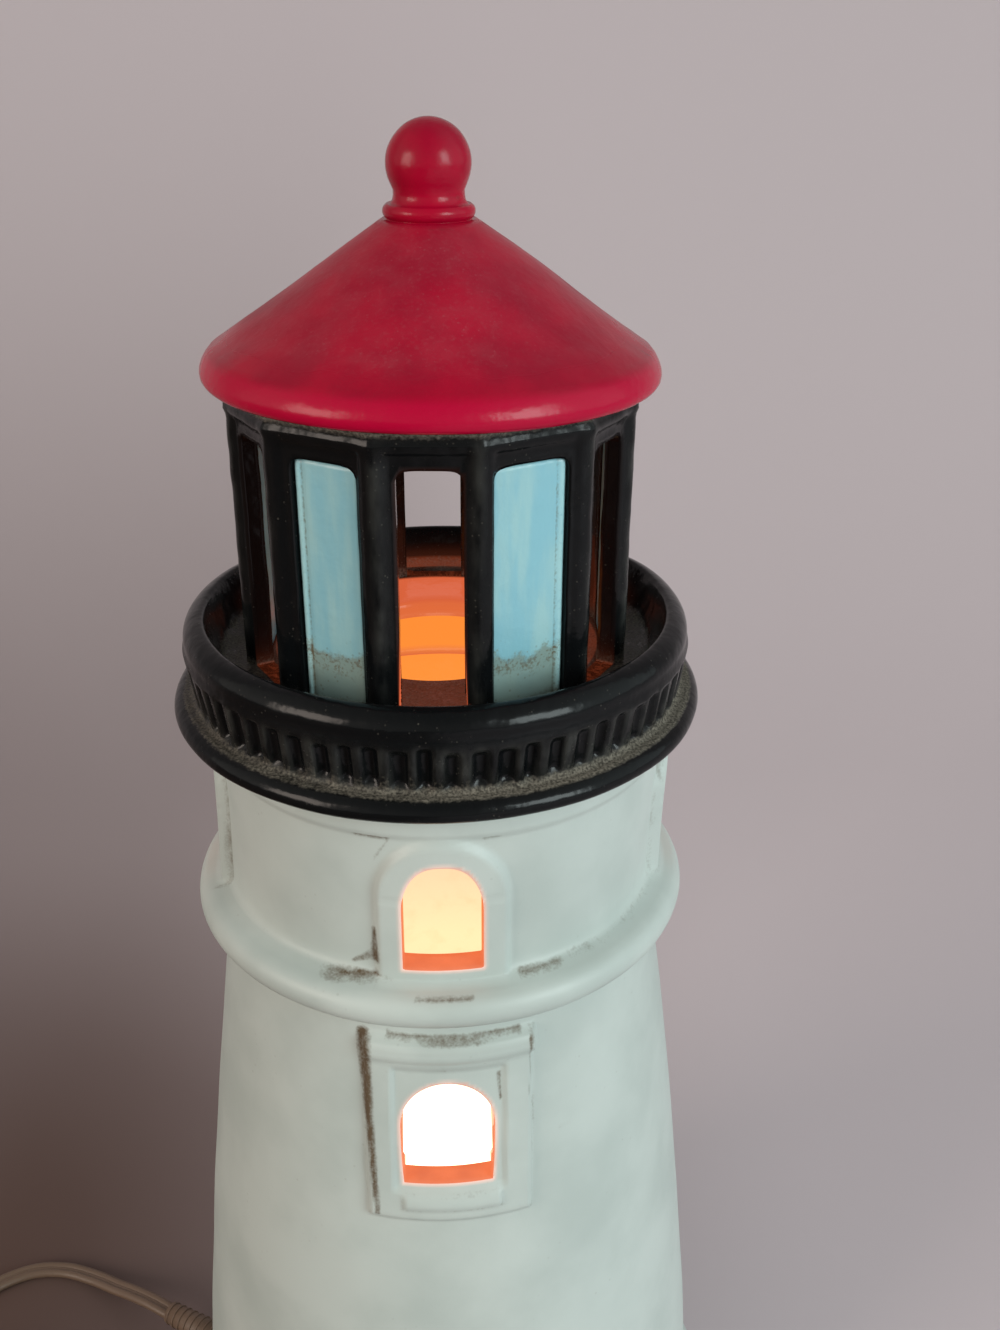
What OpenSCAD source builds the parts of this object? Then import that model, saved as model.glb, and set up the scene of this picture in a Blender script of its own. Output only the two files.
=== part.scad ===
// Lighthouse accent lamp in millimetres.
// The origin is on the table under the middle of the felt base. +Z is up and the front faces -Y.

/* [Gallery] */
// Outer radius of the flange
flange_r = 58; // [56.5:0.5:60]
// Height of the middle of the flange above the table
flange_z = 261; // [258:1:268]
// Thickness of the flange
flange_h = 6; // [5:0.5:8]
// Radius of the foot of the fluted wall
flute_wall_r = 52.8; // [52:0.1:53]
// Number of flutes round the wall
flute_count = 66; // [48:2:72]
// Height of the gallery floor above the middle of the flange
deck_rise = 11; // [10:0.5:12]
// Radius of the hole in the lantern floor
lens_hole_r = 21; // [16:1:24]

/* [Lantern room] */
// Radius over the corner posts
lantern_r = 41; // [40:0.5:42]
// Half angle of a narrow side, in degrees
narrow_half = 14; // [13:0.5:15]
// Height of the window openings
opening_h = 50.5; // [46:0.5:52]
// Width of a narrow opening
narrow_w = 12.8; // [11:0.1:13]
// Width of a wide opening
wide_w = 15.3; // [14:0.1:16]
// Turn of the loose lantern top on the tower, in degrees
lantern_turn = -2; // [-5:0.5:5]
// Height of the lantern room above its deck
lantern_h = 57.8; // [57:0.1:60]

/* [Roof] */
// Radius to the outside of the rounded eaves
eaves_r = 46.2; // [45.5:0.1:47]
// Slope of the roof, in degrees
roof_slope = 33.8; // [30:0.1:36]
// Radius of the ball finial
ball_r = 8.2; // [7.6:0.1:8.6]

/* [Tower] */
// Radius of the neck under the gallery
neck_r = 49.4; // [49:0.1:50]
// Height of the ring moulding
ring_z = 212.5; // [211:0.5:214]
// Radius of the body just under the ring moulding
body_top_r = 49.6; // [49:0.1:50.5]
// Widening of the body for each millimetre down
body_taper = 0.152; // [0.14:0.002:0.156]
// Thickness of the ceramic wall
wall = 4.5; // [4:0.1:5]
// Radius of the round plinth
plinth_r = 78; // [78:0.5:80]

/* [Windows] */
// Width of an upper window
upper_w = 16.2; // [14:0.1:18]
// Height of an upper window
upper_h = 25.2; // [22:0.1:26]
// Width of the lower window
lower_w = 20.2; // [18:0.1:22]
// Height of the lower window
lower_h = 25; // [22:0.1:26]

/* [Bulb] */
// Radius of the bulb's round part
bulb_r = 24; // [20:0.5:25]
// Height of the socket's rim above the table
socket_rim_z = 94; // [92:1:96]

/* [Cord] */
// Width of the flat twin cord
cord_w = 5.6; // [5.2:0.1:5.6]
// Thickness of the flat twin cord
cord_h = 2.8; // [2.4:0.1:2.8]
// Turns in the stored coil
coil_turns = 7.5; // [7.5:1:7.5]

/* [Hidden] */
$fn = 72;

// Heights and radii of the gallery, the lantern room and the roof
flange_low = flange_z - flange_h / 2;
flange_top = flange_z + flange_h / 2;
deck_z = flange_z + deck_rise;
deck_h = 4;
rim_round_r = 4.2;
rim_mid_r = flute_wall_r - 2.3;
rim_z = deck_z + 4.9;
rim_lean = 1.9;
parapet_inner_r = 46.6;
flute_r = 1.4;
spigot_gap = 0.5;
spigot_depth = 9.5;
spigot_wall = 3.6;
lantern_wall = 4;
lantern_top = deck_z + lantern_h;
bays = 6;
bay_angle = 360 / bays;
post_r = 2.7;
cornice_w = 1.4;
cornice_h = 4;
pane_recess = 1.5;
pane_h = 2.2;
eaves_bead_r = 2.3;
roof_wall = 4;
roof_cone_r = eaves_r - eaves_bead_r;
eaves_h = 6.8;
roof_foot_z = lantern_top + eaves_h;
collar_r = 9.1;
collar_z = roof_foot_z + (roof_cone_r - collar_r) * tan(roof_slope);
ball_rise = 10.7;
ball_z = collar_z + ball_rise;

// Heights and radii of the tower
felt_h = 2;
floor_z = 26;
floor_h = 4;
floor_hole_r = 42;
plinth_wall = 7;
plinth_z = 20;
body_bulge = 0.000207;
neck_inner_r = neck_r - 4.1;
ring_mid_r = 52.8;
ring_bead_r = 4.25;
body_steps = 14;
upper_sill_z = flange_z - 40.6;
lower_sill_z = flange_z - 94.5;
side_angles = [-90, 0, 90];
relief = 1.4;
side_relief = 2.4;
neck_band_w = 0.9;
neck_band_h = 6.5;
door_z = plinth_z + 10;
door_w = 27;
door_h = 62;

// Heights of the socket's mounting, from the ceramic floor up
plate_r = 52;
plate_h = 1.5;
plate_bore_r = 5;
nipple_r = 4.8;
nipple_bore_r = 3.4;
nipple_low = 20;
nipple_top = 48;
nut_h = 3;
washer_h = 0.8;
upper_plate_z = floor_z + floor_h;
washer_z = upper_plate_z + plate_h;
upper_nut_z = washer_z + washer_h;
cap_z = socket_rim_z - 56;
shell_z = cap_z + 8;
shell_r = 19;
thread_pitch = 3.63;
body_foot_z = cap_z + 16;
terminal_x = 10.5;
terminal_r = 1.8;
terminal_grip = 2.5;
terminal_head_h = 1.5;
bulb_seat_z = socket_rim_z - 29;
bulb_ball_z = socket_rim_z + 40;

// The cord leaves the plinth through a hole that looks back and to the left
exit_angle = 160;
exit_heading = 148;
exit_z = 9;
exit_point = [plinth_r * cos(exit_angle), plinth_r * sin(exit_angle), exit_z];
exit_dir = [cos(exit_heading), sin(exit_heading), 0];
relief_r = 5.1;
relief_inset = 10;
snout_length = 22;
snout_start = 1;
snout_end = exit_point + (snout_start + snout_length) * exit_dir;
cord_clear = 0.5;
rest_z = cord_h / 2;

// The inline switch lies along the cord, and the coil is beside it
switch_x = -178;
switch_y = 14;
switch_length = 60;
switch_w = 26;
switch_h = 18;
switch_split_z = 9;
switch_wall = 4;
switch_floor_h = 2;
switch_cord_z = 7;
slot_depth = 11;
screw_place = [8, 22];
rocker_y = switch_y - switch_length / 2;
rocker_tilt = 9;
rocker_axis_z = 14.5;
rocker_length = 17;
rocker_w = 9;
rocker_gap = 1.1;
rocker_pin_r = 1.2;
rocker_pin_l = 22;
screw_r = 1.3;
screw_head_r = 2.6;
screw_head_h = 1.6;
screw_head_z = 1;
coil_outer_r = 37.5;
coil_pitch = 6.2;
coil_layers = 4;
coil_layer_h = 3.35;
coil_mid = [switch_x - coil_outer_r, -78];
coil_low_z = cord_clear + rest_z;
coil_high_z = coil_low_z + (coil_layers - 1) * coil_layer_h;
coil_steps = 24;
coil_lead_in = 6;
plug_y = -24;
plug_z = 6;
plug_w = 22;
plug_h = 11;
plug_l = 26;
boot_l = 12;
tail_x = switch_x - 2 * coil_outer_r;

// The free stretch from the strain relief to the switch: points chosen along the real lie
lead_route = [
    snout_end,
    snout_end + 7 * exit_dir,
    [-106, 47.5, 7.4],
    [-114, 53, 4.6],
    [-123, 59, 2.2],
    [-135, 63.5, rest_z],
    [-145, 63.5, rest_z],
    [-154, 60, rest_z],
    [-162, 54, rest_z],
    [-169, 46.5, rest_z],
    [-174, 38, 1.9],
    [-177, 29, 3.8],
    [switch_x, 21, 6],
    [switch_x, switch_y, switch_cord_z],
    [switch_x, switch_y - slot_depth, switch_cord_z]
];

// The short stretch from the switch down to the coil
link_route = [
    [switch_x, switch_y - switch_length + slot_depth, switch_cord_z],
    [switch_x, switch_y - switch_length, switch_cord_z],
    [switch_x, -53, 5.8],
    [switch_x, -60, 3.2],
    [switch_x, -66, coil_low_z],
    [switch_x, coil_mid.y + coil_lead_in, coil_low_z]
];

// The end of the cord, from the top of the coil down to the plug
tail_route = [
    [tail_x, coil_mid.y + coil_lead_in, coil_high_z],
    [tail_x, -66, coil_high_z],
    [tail_x, -58, 10.8],
    [tail_x, -49, 8.4],
    [tail_x, -40, 6.6],
    [tail_x, -32, plug_z],
    [tail_x, plug_y, plug_z]
];

// The stretch inside the base, from the strain relief up through the nipple
inner_route = [
    exit_point - relief_inset * exit_dir,
    [-58, 18, exit_z],
    [-46, 12, exit_z],
    [-33, 6.5, exit_z],
    [-21, 2.5, exit_z],
    [-12, 0.5, exit_z + 0.4],
    [-6, 0, exit_z + 2.2],
    [-2, 0, exit_z + 6],
    [0, 0, exit_z + 11],
    [0, 0, nipple_top - 12],
    [0, 0, nipple_top]
];

// Radius of the body's outer surface at height z
function body_r(z) =
    let (down = ring_z - z)
    body_top_r + body_taper * down - body_bulge * down * down;

// Point at a distance from the axis, on a bearing measured from the front towards +X
function bearing(angle, r) = r * [sin(angle), -cos(angle)];

// Direction of a route at point i
function heading(route, i) =
    let (
        last = len(route) - 1,
        step = route[min(i + 1, last)] - route[max(i - 1, 0)]
    )
    step / norm(step);

// Level direction across a route at point i, or the side given where the route stands upright
function across(route, i, upright_side) =
    let (
        ahead = heading(route, i),
        level = norm([ahead.x, ahead.y])
    )
    level > 0.25 ? [-ahead.y, ahead.x, 0] / level : upright_side;

// One ring of the flat cord's section at point i, an even-sided outline that fills w by h
function cord_ring(route, i, w, h, sides, upright_side) =
    let (
        side = across(route, i, upright_side),
        up = cross(heading(route, i), side),
        turn = sides == 8 ? 22.5 : 0,
        half_w = w / 2 / cos(turn),
        half_h = h / 2 / (sides == 8 ? cos(turn) : sin(60))
    )
    [for (k = [0 : sides - 1])
        let (a = turn + k * 360 / sides)
        route[i] + side * half_w * cos(a) + up * half_h * sin(a)];

// Angle round the coil at a step, which falls because the coil winds clockwise
function coil_angle(turn) = -360 * turn;

// Distance of the coil's cord from its middle: in and out again, once for each two layers
function coil_r(turn) =
    let (
        per_layer = coil_turns / coil_layers,
        layer = floor(min(turn, coil_turns - 0.001) / per_layer),
        done = turn - layer * per_layer,
        inward = layer % 2 == 0 ? done : per_layer - done
    )
    coil_outer_r - coil_pitch * inward;

// Height of the coil's cord: it climbs a layer in the half turn where the spiral reverses
function coil_z(turn) =
    let (
        per_layer = coil_turns / coil_layers,
        climbed = [for (k = [1 : coil_layers - 1])
            max(0, min(1, (turn - k * per_layer) / 0.5 + 0.5))],
        layers = climbed * [for (k = [1 : coil_layers - 1]) 1]
    )
    coil_low_z + coil_layer_h * layers;

// Points of the whole coil, with a straight length at each end
coil_route = concat(
    [[coil_mid.x + coil_outer_r, coil_mid.y + coil_lead_in, coil_low_z]],
    [for (i = [0 : coil_turns * coil_steps])
        let (turn = i / coil_steps)
        [
            coil_mid.x + coil_r(turn) * cos(coil_angle(turn)),
            coil_mid.y + coil_r(turn) * sin(coil_angle(turn)),
            coil_z(turn)
        ]],
    [[tail_x, coil_mid.y + coil_lead_in, coil_high_z]]
);

// Length of a route
function route_length(route) =
    [for (i = [1 : len(route) - 1]) norm(route[i] - route[i - 1])] * [for (i = [1 : len(route) - 1]) 1];

// Least distance between the corners of two rings
function ring_gap(a, b) = min([for (p = a, q = b) norm(p - q)]);

// Least gap between the coil's neighbouring turns, over the corners of all its rings
coil_rings = [for (i = [0 : len(coil_route) - 1])
    cord_ring(coil_route, i, cord_w, cord_h, 6, [0, 1, 0])];
coil_gap = min([for (i = [1 : len(coil_rings) - 2], turns = [1 : 7], near = [-1 : 1])
    let (k = i + turns * coil_steps + near)
    if (k < len(coil_rings) - 1)
        ring_gap(coil_rings[i], coil_rings[k])]);
echo(coil_least_gap = coil_gap);
echo(coil_length = route_length(coil_route));
echo(free_length = route_length(lead_route) + switch_length + route_length(link_route)
    + route_length(coil_route) + route_length(tail_route) + snout_length);

// A flat cord swept along a route
module flat_cord(route, sides = 8, upright_side = [0, 1, 0]) {
    rings = len(route);
    rows = [for (i = [0 : rings - 1]) cord_ring(route, i, cord_w, cord_h, sides, upright_side)];
    points = [for (row = rows) for (p = row) p];
    walls = [for (i = [0 : rings - 2], k = [0 : sides - 1])
        let (
            a = i * sides + k,
            b = i * sides + (k + 1) % sides
        )
        each [[a, a + sides, b], [b, a + sides, b + sides]]];
    start_cap = [for (k = [1 : sides - 2]) [0, k, k + 1]];
    last = (rings - 1) * sides;
    end_cap = [for (k = [1 : sides - 2]) [last, last + k + 1, last + k]];
    polyhedron(points = points, faces = concat(walls, start_cap, end_cap), convexity = 10);
}

// Turns an outline drawn in x and z so that it looks out at a bearing from the front
module facing(angle, z = 0) {
    rotate([0, 0, angle])
        translate([0, 0, z])
            rotate([90, 0, 0])
                children();
}

// Outline of an opening with a round head, standing on the x axis
module arch(w, h) {
    translate([-w / 2, 0])
        square([w, h - w / 2]);
    translate([0, h - w / 2])
        circle(r = w / 2);
}

// A ring with a flat top and bottom
module ring(outer_r, inner_r, h) {
    difference() {
        cylinder(r = outer_r, h = h);
        translate([0, 0, -1])
            cylinder(r = inner_r, h = h + 2);
    }
}

// A round section swept in a level circle
module bead(r, z, section_r) {
    translate([0, 0, z])
        rotate_extrude()
            translate([r, 0])
                circle(r = section_r, $fn = 36);
}

module felt_base() {
    color("darkslategray")
        cylinder(r = plinth_r - 3, h = felt_h);
}

// Solid outline of the tower, grown outwards by extra
module tower_mass(extra = 0) {
    body = [for (i = [0 : body_steps])
        let (z = plinth_z + (ring_z - plinth_z) * i / body_steps)
        [body_r(z) + extra, z]];
    cove = [[2.6, 2.5], [0.8, 5.5], [0, 8]];
    neck = concat(
        [for (step = cove) [neck_r + step.x + extra, ring_z + step.y]],
        [[neck_r + extra, flange_low]]
    );
    rotate_extrude()
        polygon(concat([[0, plinth_z]], body, neck, [[0, flange_low]]));
}

// Plinth with a rounded shoulder and a bead where the tower rises from it
module plinth_mass() {
    shoulder_r = 3;
    step_w = 4;
    step_rise = 4;
    bead_z = plinth_z + 7;
    rotate_extrude() {
        translate([0, felt_h])
            square([plinth_r, plinth_z - felt_h - shoulder_r]);
        translate([0, felt_h])
            square([plinth_r - shoulder_r, plinth_z - felt_h]);
        translate([plinth_r - shoulder_r, plinth_z - shoulder_r])
            circle(r = shoulder_r);
        translate([0, plinth_z - 1])
            square([plinth_r - step_w, step_rise + 1]);
    }
    bead(body_r(bead_z), bead_z, shoulder_r);
}

// Lays a shape drawn up the z axis along the cord's way out of the plinth
module along_exit() {
    translate(exit_point)
        rotate([0, 0, exit_heading])
            rotate([0, 90, 0])
                children();
}

// Everything that is hollow inside the tower
module tower_hollow() {
    floor_top = floor_z + floor_h;
    shoulder_z = ring_z - 6;
    inner = [for (i = [0 : body_steps])
        let (z = floor_top + (shoulder_z - floor_top) * i / body_steps)
        [body_r(z) - wall, z]];
    neck = [[neck_inner_r, shoulder_z + 10], [neck_inner_r, flange_low + 1]];
    rotate_extrude()
        polygon(concat([[0, floor_top]], inner, neck, [[0, flange_low + 1]]));
    cylinder(r = plinth_r - plinth_wall, h = plinth_z - 4);
    cylinder(r = plinth_r - 2 * plinth_wall, h = floor_z);
    cylinder(r = floor_hole_r, h = floor_top + 1);
}

// Raised arch round an upper window
module upper_surround(angle) {
    band = 5.2;
    foot = 5;
    stand = angle == 0 ? relief : side_relief;
    intersection() {
        cylinder(r = neck_r + stand, h = flange_low);
        facing(angle, upper_sill_z - foot)
            linear_extrude(height = plinth_r)
                arch(upper_w + 2 * band, upper_h + foot + band - 0.6);
    }
}

// Raised frame, hood and sill of the lower window
module lower_frame() {
    frame_w = 35.6;
    frame_foot = 9;
    hood_w = 36.8;
    hood_h = 5;
    hood_z = lower_sill_z + lower_h + 6.5;
    sill_w = 27;
    sill_h = 4.5;
    intersection() {
        tower_mass(relief);
        facing(0, lower_sill_z - frame_foot)
            linear_extrude(height = plinth_r)
                translate([-frame_w / 2, 0])
                    square([frame_w, hood_z - lower_sill_z + frame_foot + 2]);
    }
    intersection() {
        tower_mass(relief + 1);
        facing(0, hood_z)
            linear_extrude(height = plinth_r)
                translate([-hood_w / 2, 0])
                    square([hood_w, hood_h]);
    }
    intersection() {
        tower_mass(relief + 0.8);
        facing(0, lower_sill_z - 2 * sill_h)
            linear_extrude(height = plinth_r)
                translate([-sill_w / 2, 0])
                    square([sill_w, sill_h]);
    }
}

// Sunk panel round the lower window's arch
module lower_panel() {
    difference() {
        facing(0, lower_sill_z - 1)
            linear_extrude(height = plinth_r)
                translate([-lower_w / 2, 0])
                    square([lower_w, lower_h + 4]);
        tower_mass(relief - 0.9);
    }
}

// Door frame in low relief at the foot of the tower
module door_frame() {
    intersection() {
        tower_mass(relief + 0.6);
        facing(0, door_z - 2)
            linear_extrude(height = plinth_r)
                arch(door_w + 11, door_h + 10);
    }
}

// Sunk door with grooves between its planks
module door_panel() {
    plank_w = 6.5;
    groove_w = 0.7;
    difference() {
        facing(0, door_z)
            linear_extrude(height = plinth_r)
                arch(door_w, door_h);
        tower_mass(relief - 1.2);
    }
    difference() {
        for (k = [-1.5 : 1 : 1.5])
            facing(0, door_z)
                linear_extrude(height = plinth_r)
                    translate([k * plank_w - groove_w / 2, 0])
                        square([groove_w, door_h - door_w / 2 - 0.5]);
        tower_mass(relief - 1.9);
    }
}

// Small knob on the door
module door_knob() {
    knob_z = door_z + 26;
    translate([door_w / 3, -body_r(knob_z) - 0.6, knob_z])
        sphere(r = 1.8);
}

module tower() {
    color("white")
        difference() {
            union() {
                difference() {
                    union() {
                        tower_mass();
                        plinth_mass();
                        bead(ring_mid_r, ring_z, ring_bead_r);
                        translate([0, 0, flange_low - neck_band_h])
                            cylinder(r = neck_r + neck_band_w, h = neck_band_h);
                        for (angle = side_angles)
                            upper_surround(angle);
                        lower_frame();
                        door_frame();
                    }
                    lower_panel();
                    door_panel();
                }
                door_knob();
            }
            tower_hollow();
            for (angle = side_angles)
                facing(angle, upper_sill_z)
                    linear_extrude(height = plinth_r)
                        arch(upper_w, upper_h);
            facing(0, lower_sill_z)
                linear_extrude(height = plinth_r)
                    arch(lower_w, lower_h);
            along_exit() {
                translate([0, 0, -relief_inset - 6])
                    cylinder(r = relief_r + 0.1, h = 24);
                translate([0, 0, -0.5])
                    cylinder(r = relief_r + 1.7, h = 12);
            }
        }
}

// One of the two steel plates that grip the ceramic floor
module clamp_plate(z) {
    vent_r = 6;
    vent_ring_r = 26;
    color("silver")
        translate([0, 0, z])
            difference() {
                cylinder(r = plate_r, h = plate_h);
                translate([0, 0, -1])
                    cylinder(r = plate_bore_r, h = plate_h + 2);
                for (k = [0 : 5])
                    rotate([0, 0, 30 + 60 * k])
                        translate([vent_ring_r, 0, -1])
                            cylinder(r = vent_r, h = plate_h + 2);
            }
}

module nipple() {
    color("gold")
        translate([0, 0, nipple_low])
            ring(nipple_r, nipple_bore_r, nipple_top - nipple_low);
}

module lock_washer() {
    color("dimgray")
        translate([0, 0, washer_z])
            ring(8, nipple_r, washer_h);
}

module hex_nut(z) {
    color("goldenrod")
        translate([0, 0, z])
            difference() {
                cylinder(r = 8.2, h = nut_h, $fn = 6);
                translate([0, 0, -1])
                    cylinder(r = nipple_r, h = nut_h + 2);
            }
}

// Lower half of the lamp socket: a hub that takes the nipple, and a cup
module socket_cap() {
    color("goldenrod")
        rotate_extrude()
            polygon([[nipple_r, cap_z], [7.5, cap_z], [8.5, cap_z + 3], [shell_r - 3, cap_z + 6],
                [shell_r - 1, cap_z + 9], [shell_r - 1, body_foot_z], [shell_r - 2.6, body_foot_z],
                [shell_r - 2.6, cap_z + 10], [shell_r - 4.5, cap_z + 7.5], [7, cap_z + 5],
                [nipple_r, cap_z + 5]]);
}

module socket_shell() {
    color("gold")
        rotate_extrude()
            polygon([[shell_r - 1, shell_z + 2], [shell_r, shell_z + 2], [shell_r, shell_z + 14],
                [shell_r - 0.6, shell_z + 16], [shell_r, shell_z + 18], [shell_r, socket_rim_z - 1],
                [shell_r - 0.5, socket_rim_z], [shell_r - 1, socket_rim_z],
                [shell_r - 1, shell_z + 2]]);
}

module socket_sleeve() {
    color("tan")
        translate([0, 0, shell_z + 8.5])
            ring(shell_r - 1, shell_r - 1.8, socket_rim_z - shell_z - 9.5);
}

// Moulded insulator that holds the screw shell and the contact
module socket_body() {
    color("black")
        difference() {
            translate([0, 0, body_foot_z])
                cylinder(r = shell_r - 1.8, h = bulb_seat_z - 4 - body_foot_z);
            for (side = [-1, 1])
                translate([side * terminal_x, 0, body_foot_z - 1])
                    cylinder(r = terminal_r, h = terminal_grip + 1);
        }
}

// Zigzag outline of the lamp thread's ribs between two heights, from the inner radius outwards
function ribs(low, high, r, depth) =
    let (half_turns = 2 * round((high - low) / thread_pitch))
    [for (i = [0 : half_turns])
        [r + depth * (i % 2), low + (high - low) * i / half_turns]];

module screw_shell() {
    low = bulb_seat_z - 2;
    high = socket_rim_z - 2;
    inner = ribs(low, high, 13.5, 0.5);
    outer = ribs(low, high, 14.1, 0.5);
    last = len(outer) - 1;
    color("gold") {
        rotate_extrude()
            polygon(concat(inner, [for (i = [last : -1 : 0]) outer[i]]));
        translate([0, 0, low - 2])
            ring(14.5, 9, 2.4);
    }
}

module centre_contact() {
    color("goldenrod") {
        translate([-8, -2.5, bulb_seat_z - 4])
            cube([10, 5, 0.6]);
        translate([0, 0, bulb_seat_z - 3.4])
            cylinder(r = 2.5, h = 0.4);
    }
}

module terminal_screws() {
    color("silver")
        for (side = [-1, 1])
            translate([side * terminal_x, 0, body_foot_z - terminal_head_h])
                difference() {
                    union() {
                        cylinder(r = terminal_r, h = terminal_head_h + terminal_grip);
                        cylinder(r = 3, h = terminal_head_h);
                    }
                    translate([-4, -0.3, -1])
                        cube([8, 0.6, 1.5]);
                }
}

// The two cores of the cord, parted and run out to the heads of the terminal screws
module socket_leads() {
    core_r = 0.9;
    core_x = 1.4;
    bend_z = nipple_top + 2;
    run = terminal_x - core_x;
    rise = body_foot_z - terminal_head_h - core_r / 2 - bend_z;
    color("peru")
        for (side = [-1, 1])
            translate([side * core_x, 0, nipple_top]) {
                cylinder(r = core_r, h = bend_z - nipple_top);
                translate([0, 0, bend_z - nipple_top]) {
                    sphere(r = core_r);
                    rotate([0, side * (90 - atan(rise / run)), 0])
                        cylinder(r = core_r, h = norm([run, rise]));
                }
            }
}

// Outline of the glass bulb, shrunk inwards by inset
module bulb_outline(inset) {
    foot_z = socket_rim_z - 4;
    neck_bulb_r = 12.4 - inset;
    intersection() {
        union() {
            translate([0, bulb_ball_z])
                circle(r = bulb_r - inset);
            polygon([[0, foot_z], [neck_bulb_r, foot_z], [neck_bulb_r, foot_z + 7],
                [neck_bulb_r + 2.6, foot_z + 18], [0.8 * bulb_r - inset, bulb_ball_z - 0.6 * bulb_r],
                [0, bulb_ball_z]]);
        }
        translate([0, foot_z - 1])
            square([2 * bulb_r, 4 * bulb_r]);
    }
}

module bulb_glass() {
    color([1, 0.97, 0.88])
        rotate_extrude()
            difference() {
                bulb_outline(0);
                translate([0, -0.01])
                    bulb_outline(0.8);
            }
}

module bulb_base() {
    low = bulb_seat_z + 2;
    high = socket_rim_z - 1;
    color("silver")
        rotate_extrude()
            polygon(concat(
                ribs(low, high, 12.6, 0.5),
                [[12.4, socket_rim_z - 1]],
                [[12.4, socket_rim_z - 4]],
                [[11.8, socket_rim_z - 6]],
                [[11.8, low + 1]],
                [[9, low + 1]],
                [[9, low]]
            ));
}

module bulb_insulator() {
    color("black")
        rotate_extrude()
            polygon([[0, bulb_seat_z - 1.6], [5, bulb_seat_z - 1.6], [9, bulb_seat_z + 2],
                [9, bulb_seat_z + 3], [0, bulb_seat_z + 3]]);
}

module bulb_contact() {
    color("silver")
        translate([0, 0, bulb_seat_z - 3])
            cylinder(r = 3.6, h = 1.4);
}

// Glass stem inside the bulb, with the two wires that carry the filament
module bulb_stem() {
    color("lightgray") {
        translate([0, 0, bulb_seat_z + 3])
            cylinder(r = 3, h = bulb_ball_z - bulb_seat_z - 25);
        for (side = [-1, 1])
            translate([side * 1.5, 0, bulb_ball_z - 22.5])
                rotate([0, side * 24, 0])
                    cylinder(r = 0.5, h = 22);
    }
}

module bulb_filament() {
    span = 20.8;
    color("orange")
        translate([-span / 2, 0, bulb_ball_z - 1.8])
            rotate([0, 90, 0])
                cylinder(r = 0.6, h = span);
}

// Plan of the lantern room's walls: narrow and wide sides in turn
module lantern_plan(r) {
    polygon([for (k = [0 : bays - 1], side = [-1, 1])
        bearing(lantern_turn + k * bay_angle + side * narrow_half, r)]);
}

// Section of the gallery: spigot, flange, deck, leaning wall and rounded rim
module gallery_section() {
    spigot_r = neck_inner_r - spigot_gap;
    spigot_low = flange_low - spigot_depth;
    difference() {
        union() {
            translate([0, flange_low])
                square([flange_r - flange_h / 2, flange_h]);
            translate([flange_r - flange_h / 2, flange_z])
                circle(r = flange_h / 2);
            translate([0, spigot_low])
                square([spigot_r, spigot_depth + 1]);
            polygon([
                [0, flange_top - 1],
                [flute_wall_r, flange_top - 1],
                [flute_wall_r, flange_top],
                [flute_wall_r + rim_lean, rim_z],
                [0, rim_z],
            ]);
            translate([rim_mid_r, rim_z])
                circle(r = rim_round_r);
        }
        translate([-1, spigot_low - 1])
            square([spigot_r - spigot_wall + 1, deck_z - deck_h - spigot_low + 1]);
        translate([-1, flange_z])
            square([lens_hole_r + 1, 20]);
        polygon([
            [-1, deck_z],
            [parapet_inner_r, deck_z],
            [rim_mid_r - 0.2, rim_z + rim_round_r + 0.1],
            [-1, rim_z + rim_round_r + 0.1],
        ]);
    }
}

// One window opening cut outwards through the lantern wall
module lantern_opening(angle, w) {
    facing(angle, deck_z)
        translate([0, -1, lantern_r - 10])
            linear_extrude(height = 14)
                translate([-w / 2, 0])
                    square([w, opening_h + 1]);
}

// Round balcony: spigot, flange, fluted wall, rounded rim and floor
module gallery() {
    flute_low = flange_top + 0.8;
    flute_h = rim_z - 3 - flute_low;
    lean_angle = atan2(rim_lean, rim_z - flange_top);
    color([0.06, 0.07, 0.08])
        difference() {
            rotate_extrude()
                gallery_section();
            for (i = [0 : flute_count - 1])
                rotate([0, 0, i * 360 / flute_count])
                    translate([flute_wall_r + 0.4, 0, flute_low])
                        rotate([0, lean_angle, 0])
                            cylinder(r = flute_r, h = flute_h, $fn = 6);
        }
}

// Walls round the light, with corner posts and window openings
module lantern_room() {
    post_middle_r = lantern_r - 0.7 * post_r;
    color([0.05, 0.06, 0.07])
        difference() {
            union() {
                translate([0, 0, deck_z])
                    linear_extrude(height = lantern_h)
                        lantern_plan(lantern_r);
                translate([0, 0, lantern_top - cornice_h])
                    linear_extrude(height = cornice_h)
                        lantern_plan(lantern_r + cornice_w);
                for (k = [0 : bays - 1], side = [-1, 1])
                    translate(bearing(lantern_turn + k * bay_angle + side * narrow_half, post_middle_r))
                        translate([0, 0, deck_z])
                            cylinder(r = post_r, h = opening_h + 2);
            }
            translate([0, 0, deck_z - 1])
                linear_extrude(height = lantern_h + 2)
                    lantern_plan(lantern_r - lantern_wall);
            for (k = [0 : bays - 1]) {
                lantern_opening(lantern_turn + k * bay_angle, narrow_w);
                lantern_opening(lantern_turn + (k + 0.5) * bay_angle, wide_w);
            }
        }
}

// Blue panel that fills one wide opening, set back from the face of the wall
module pane(bay) {
    face = lantern_r * cos(bay_angle / 2 - narrow_half) - pane_recess;
    color("lightblue")
        facing(lantern_turn + (bay + 0.5) * bay_angle, deck_z)
            translate([0, 0, face - pane_h])
                linear_extrude(height = pane_h)
                    translate([-wide_w / 2, 0])
                        square([wide_w, opening_h]);
}

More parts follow.
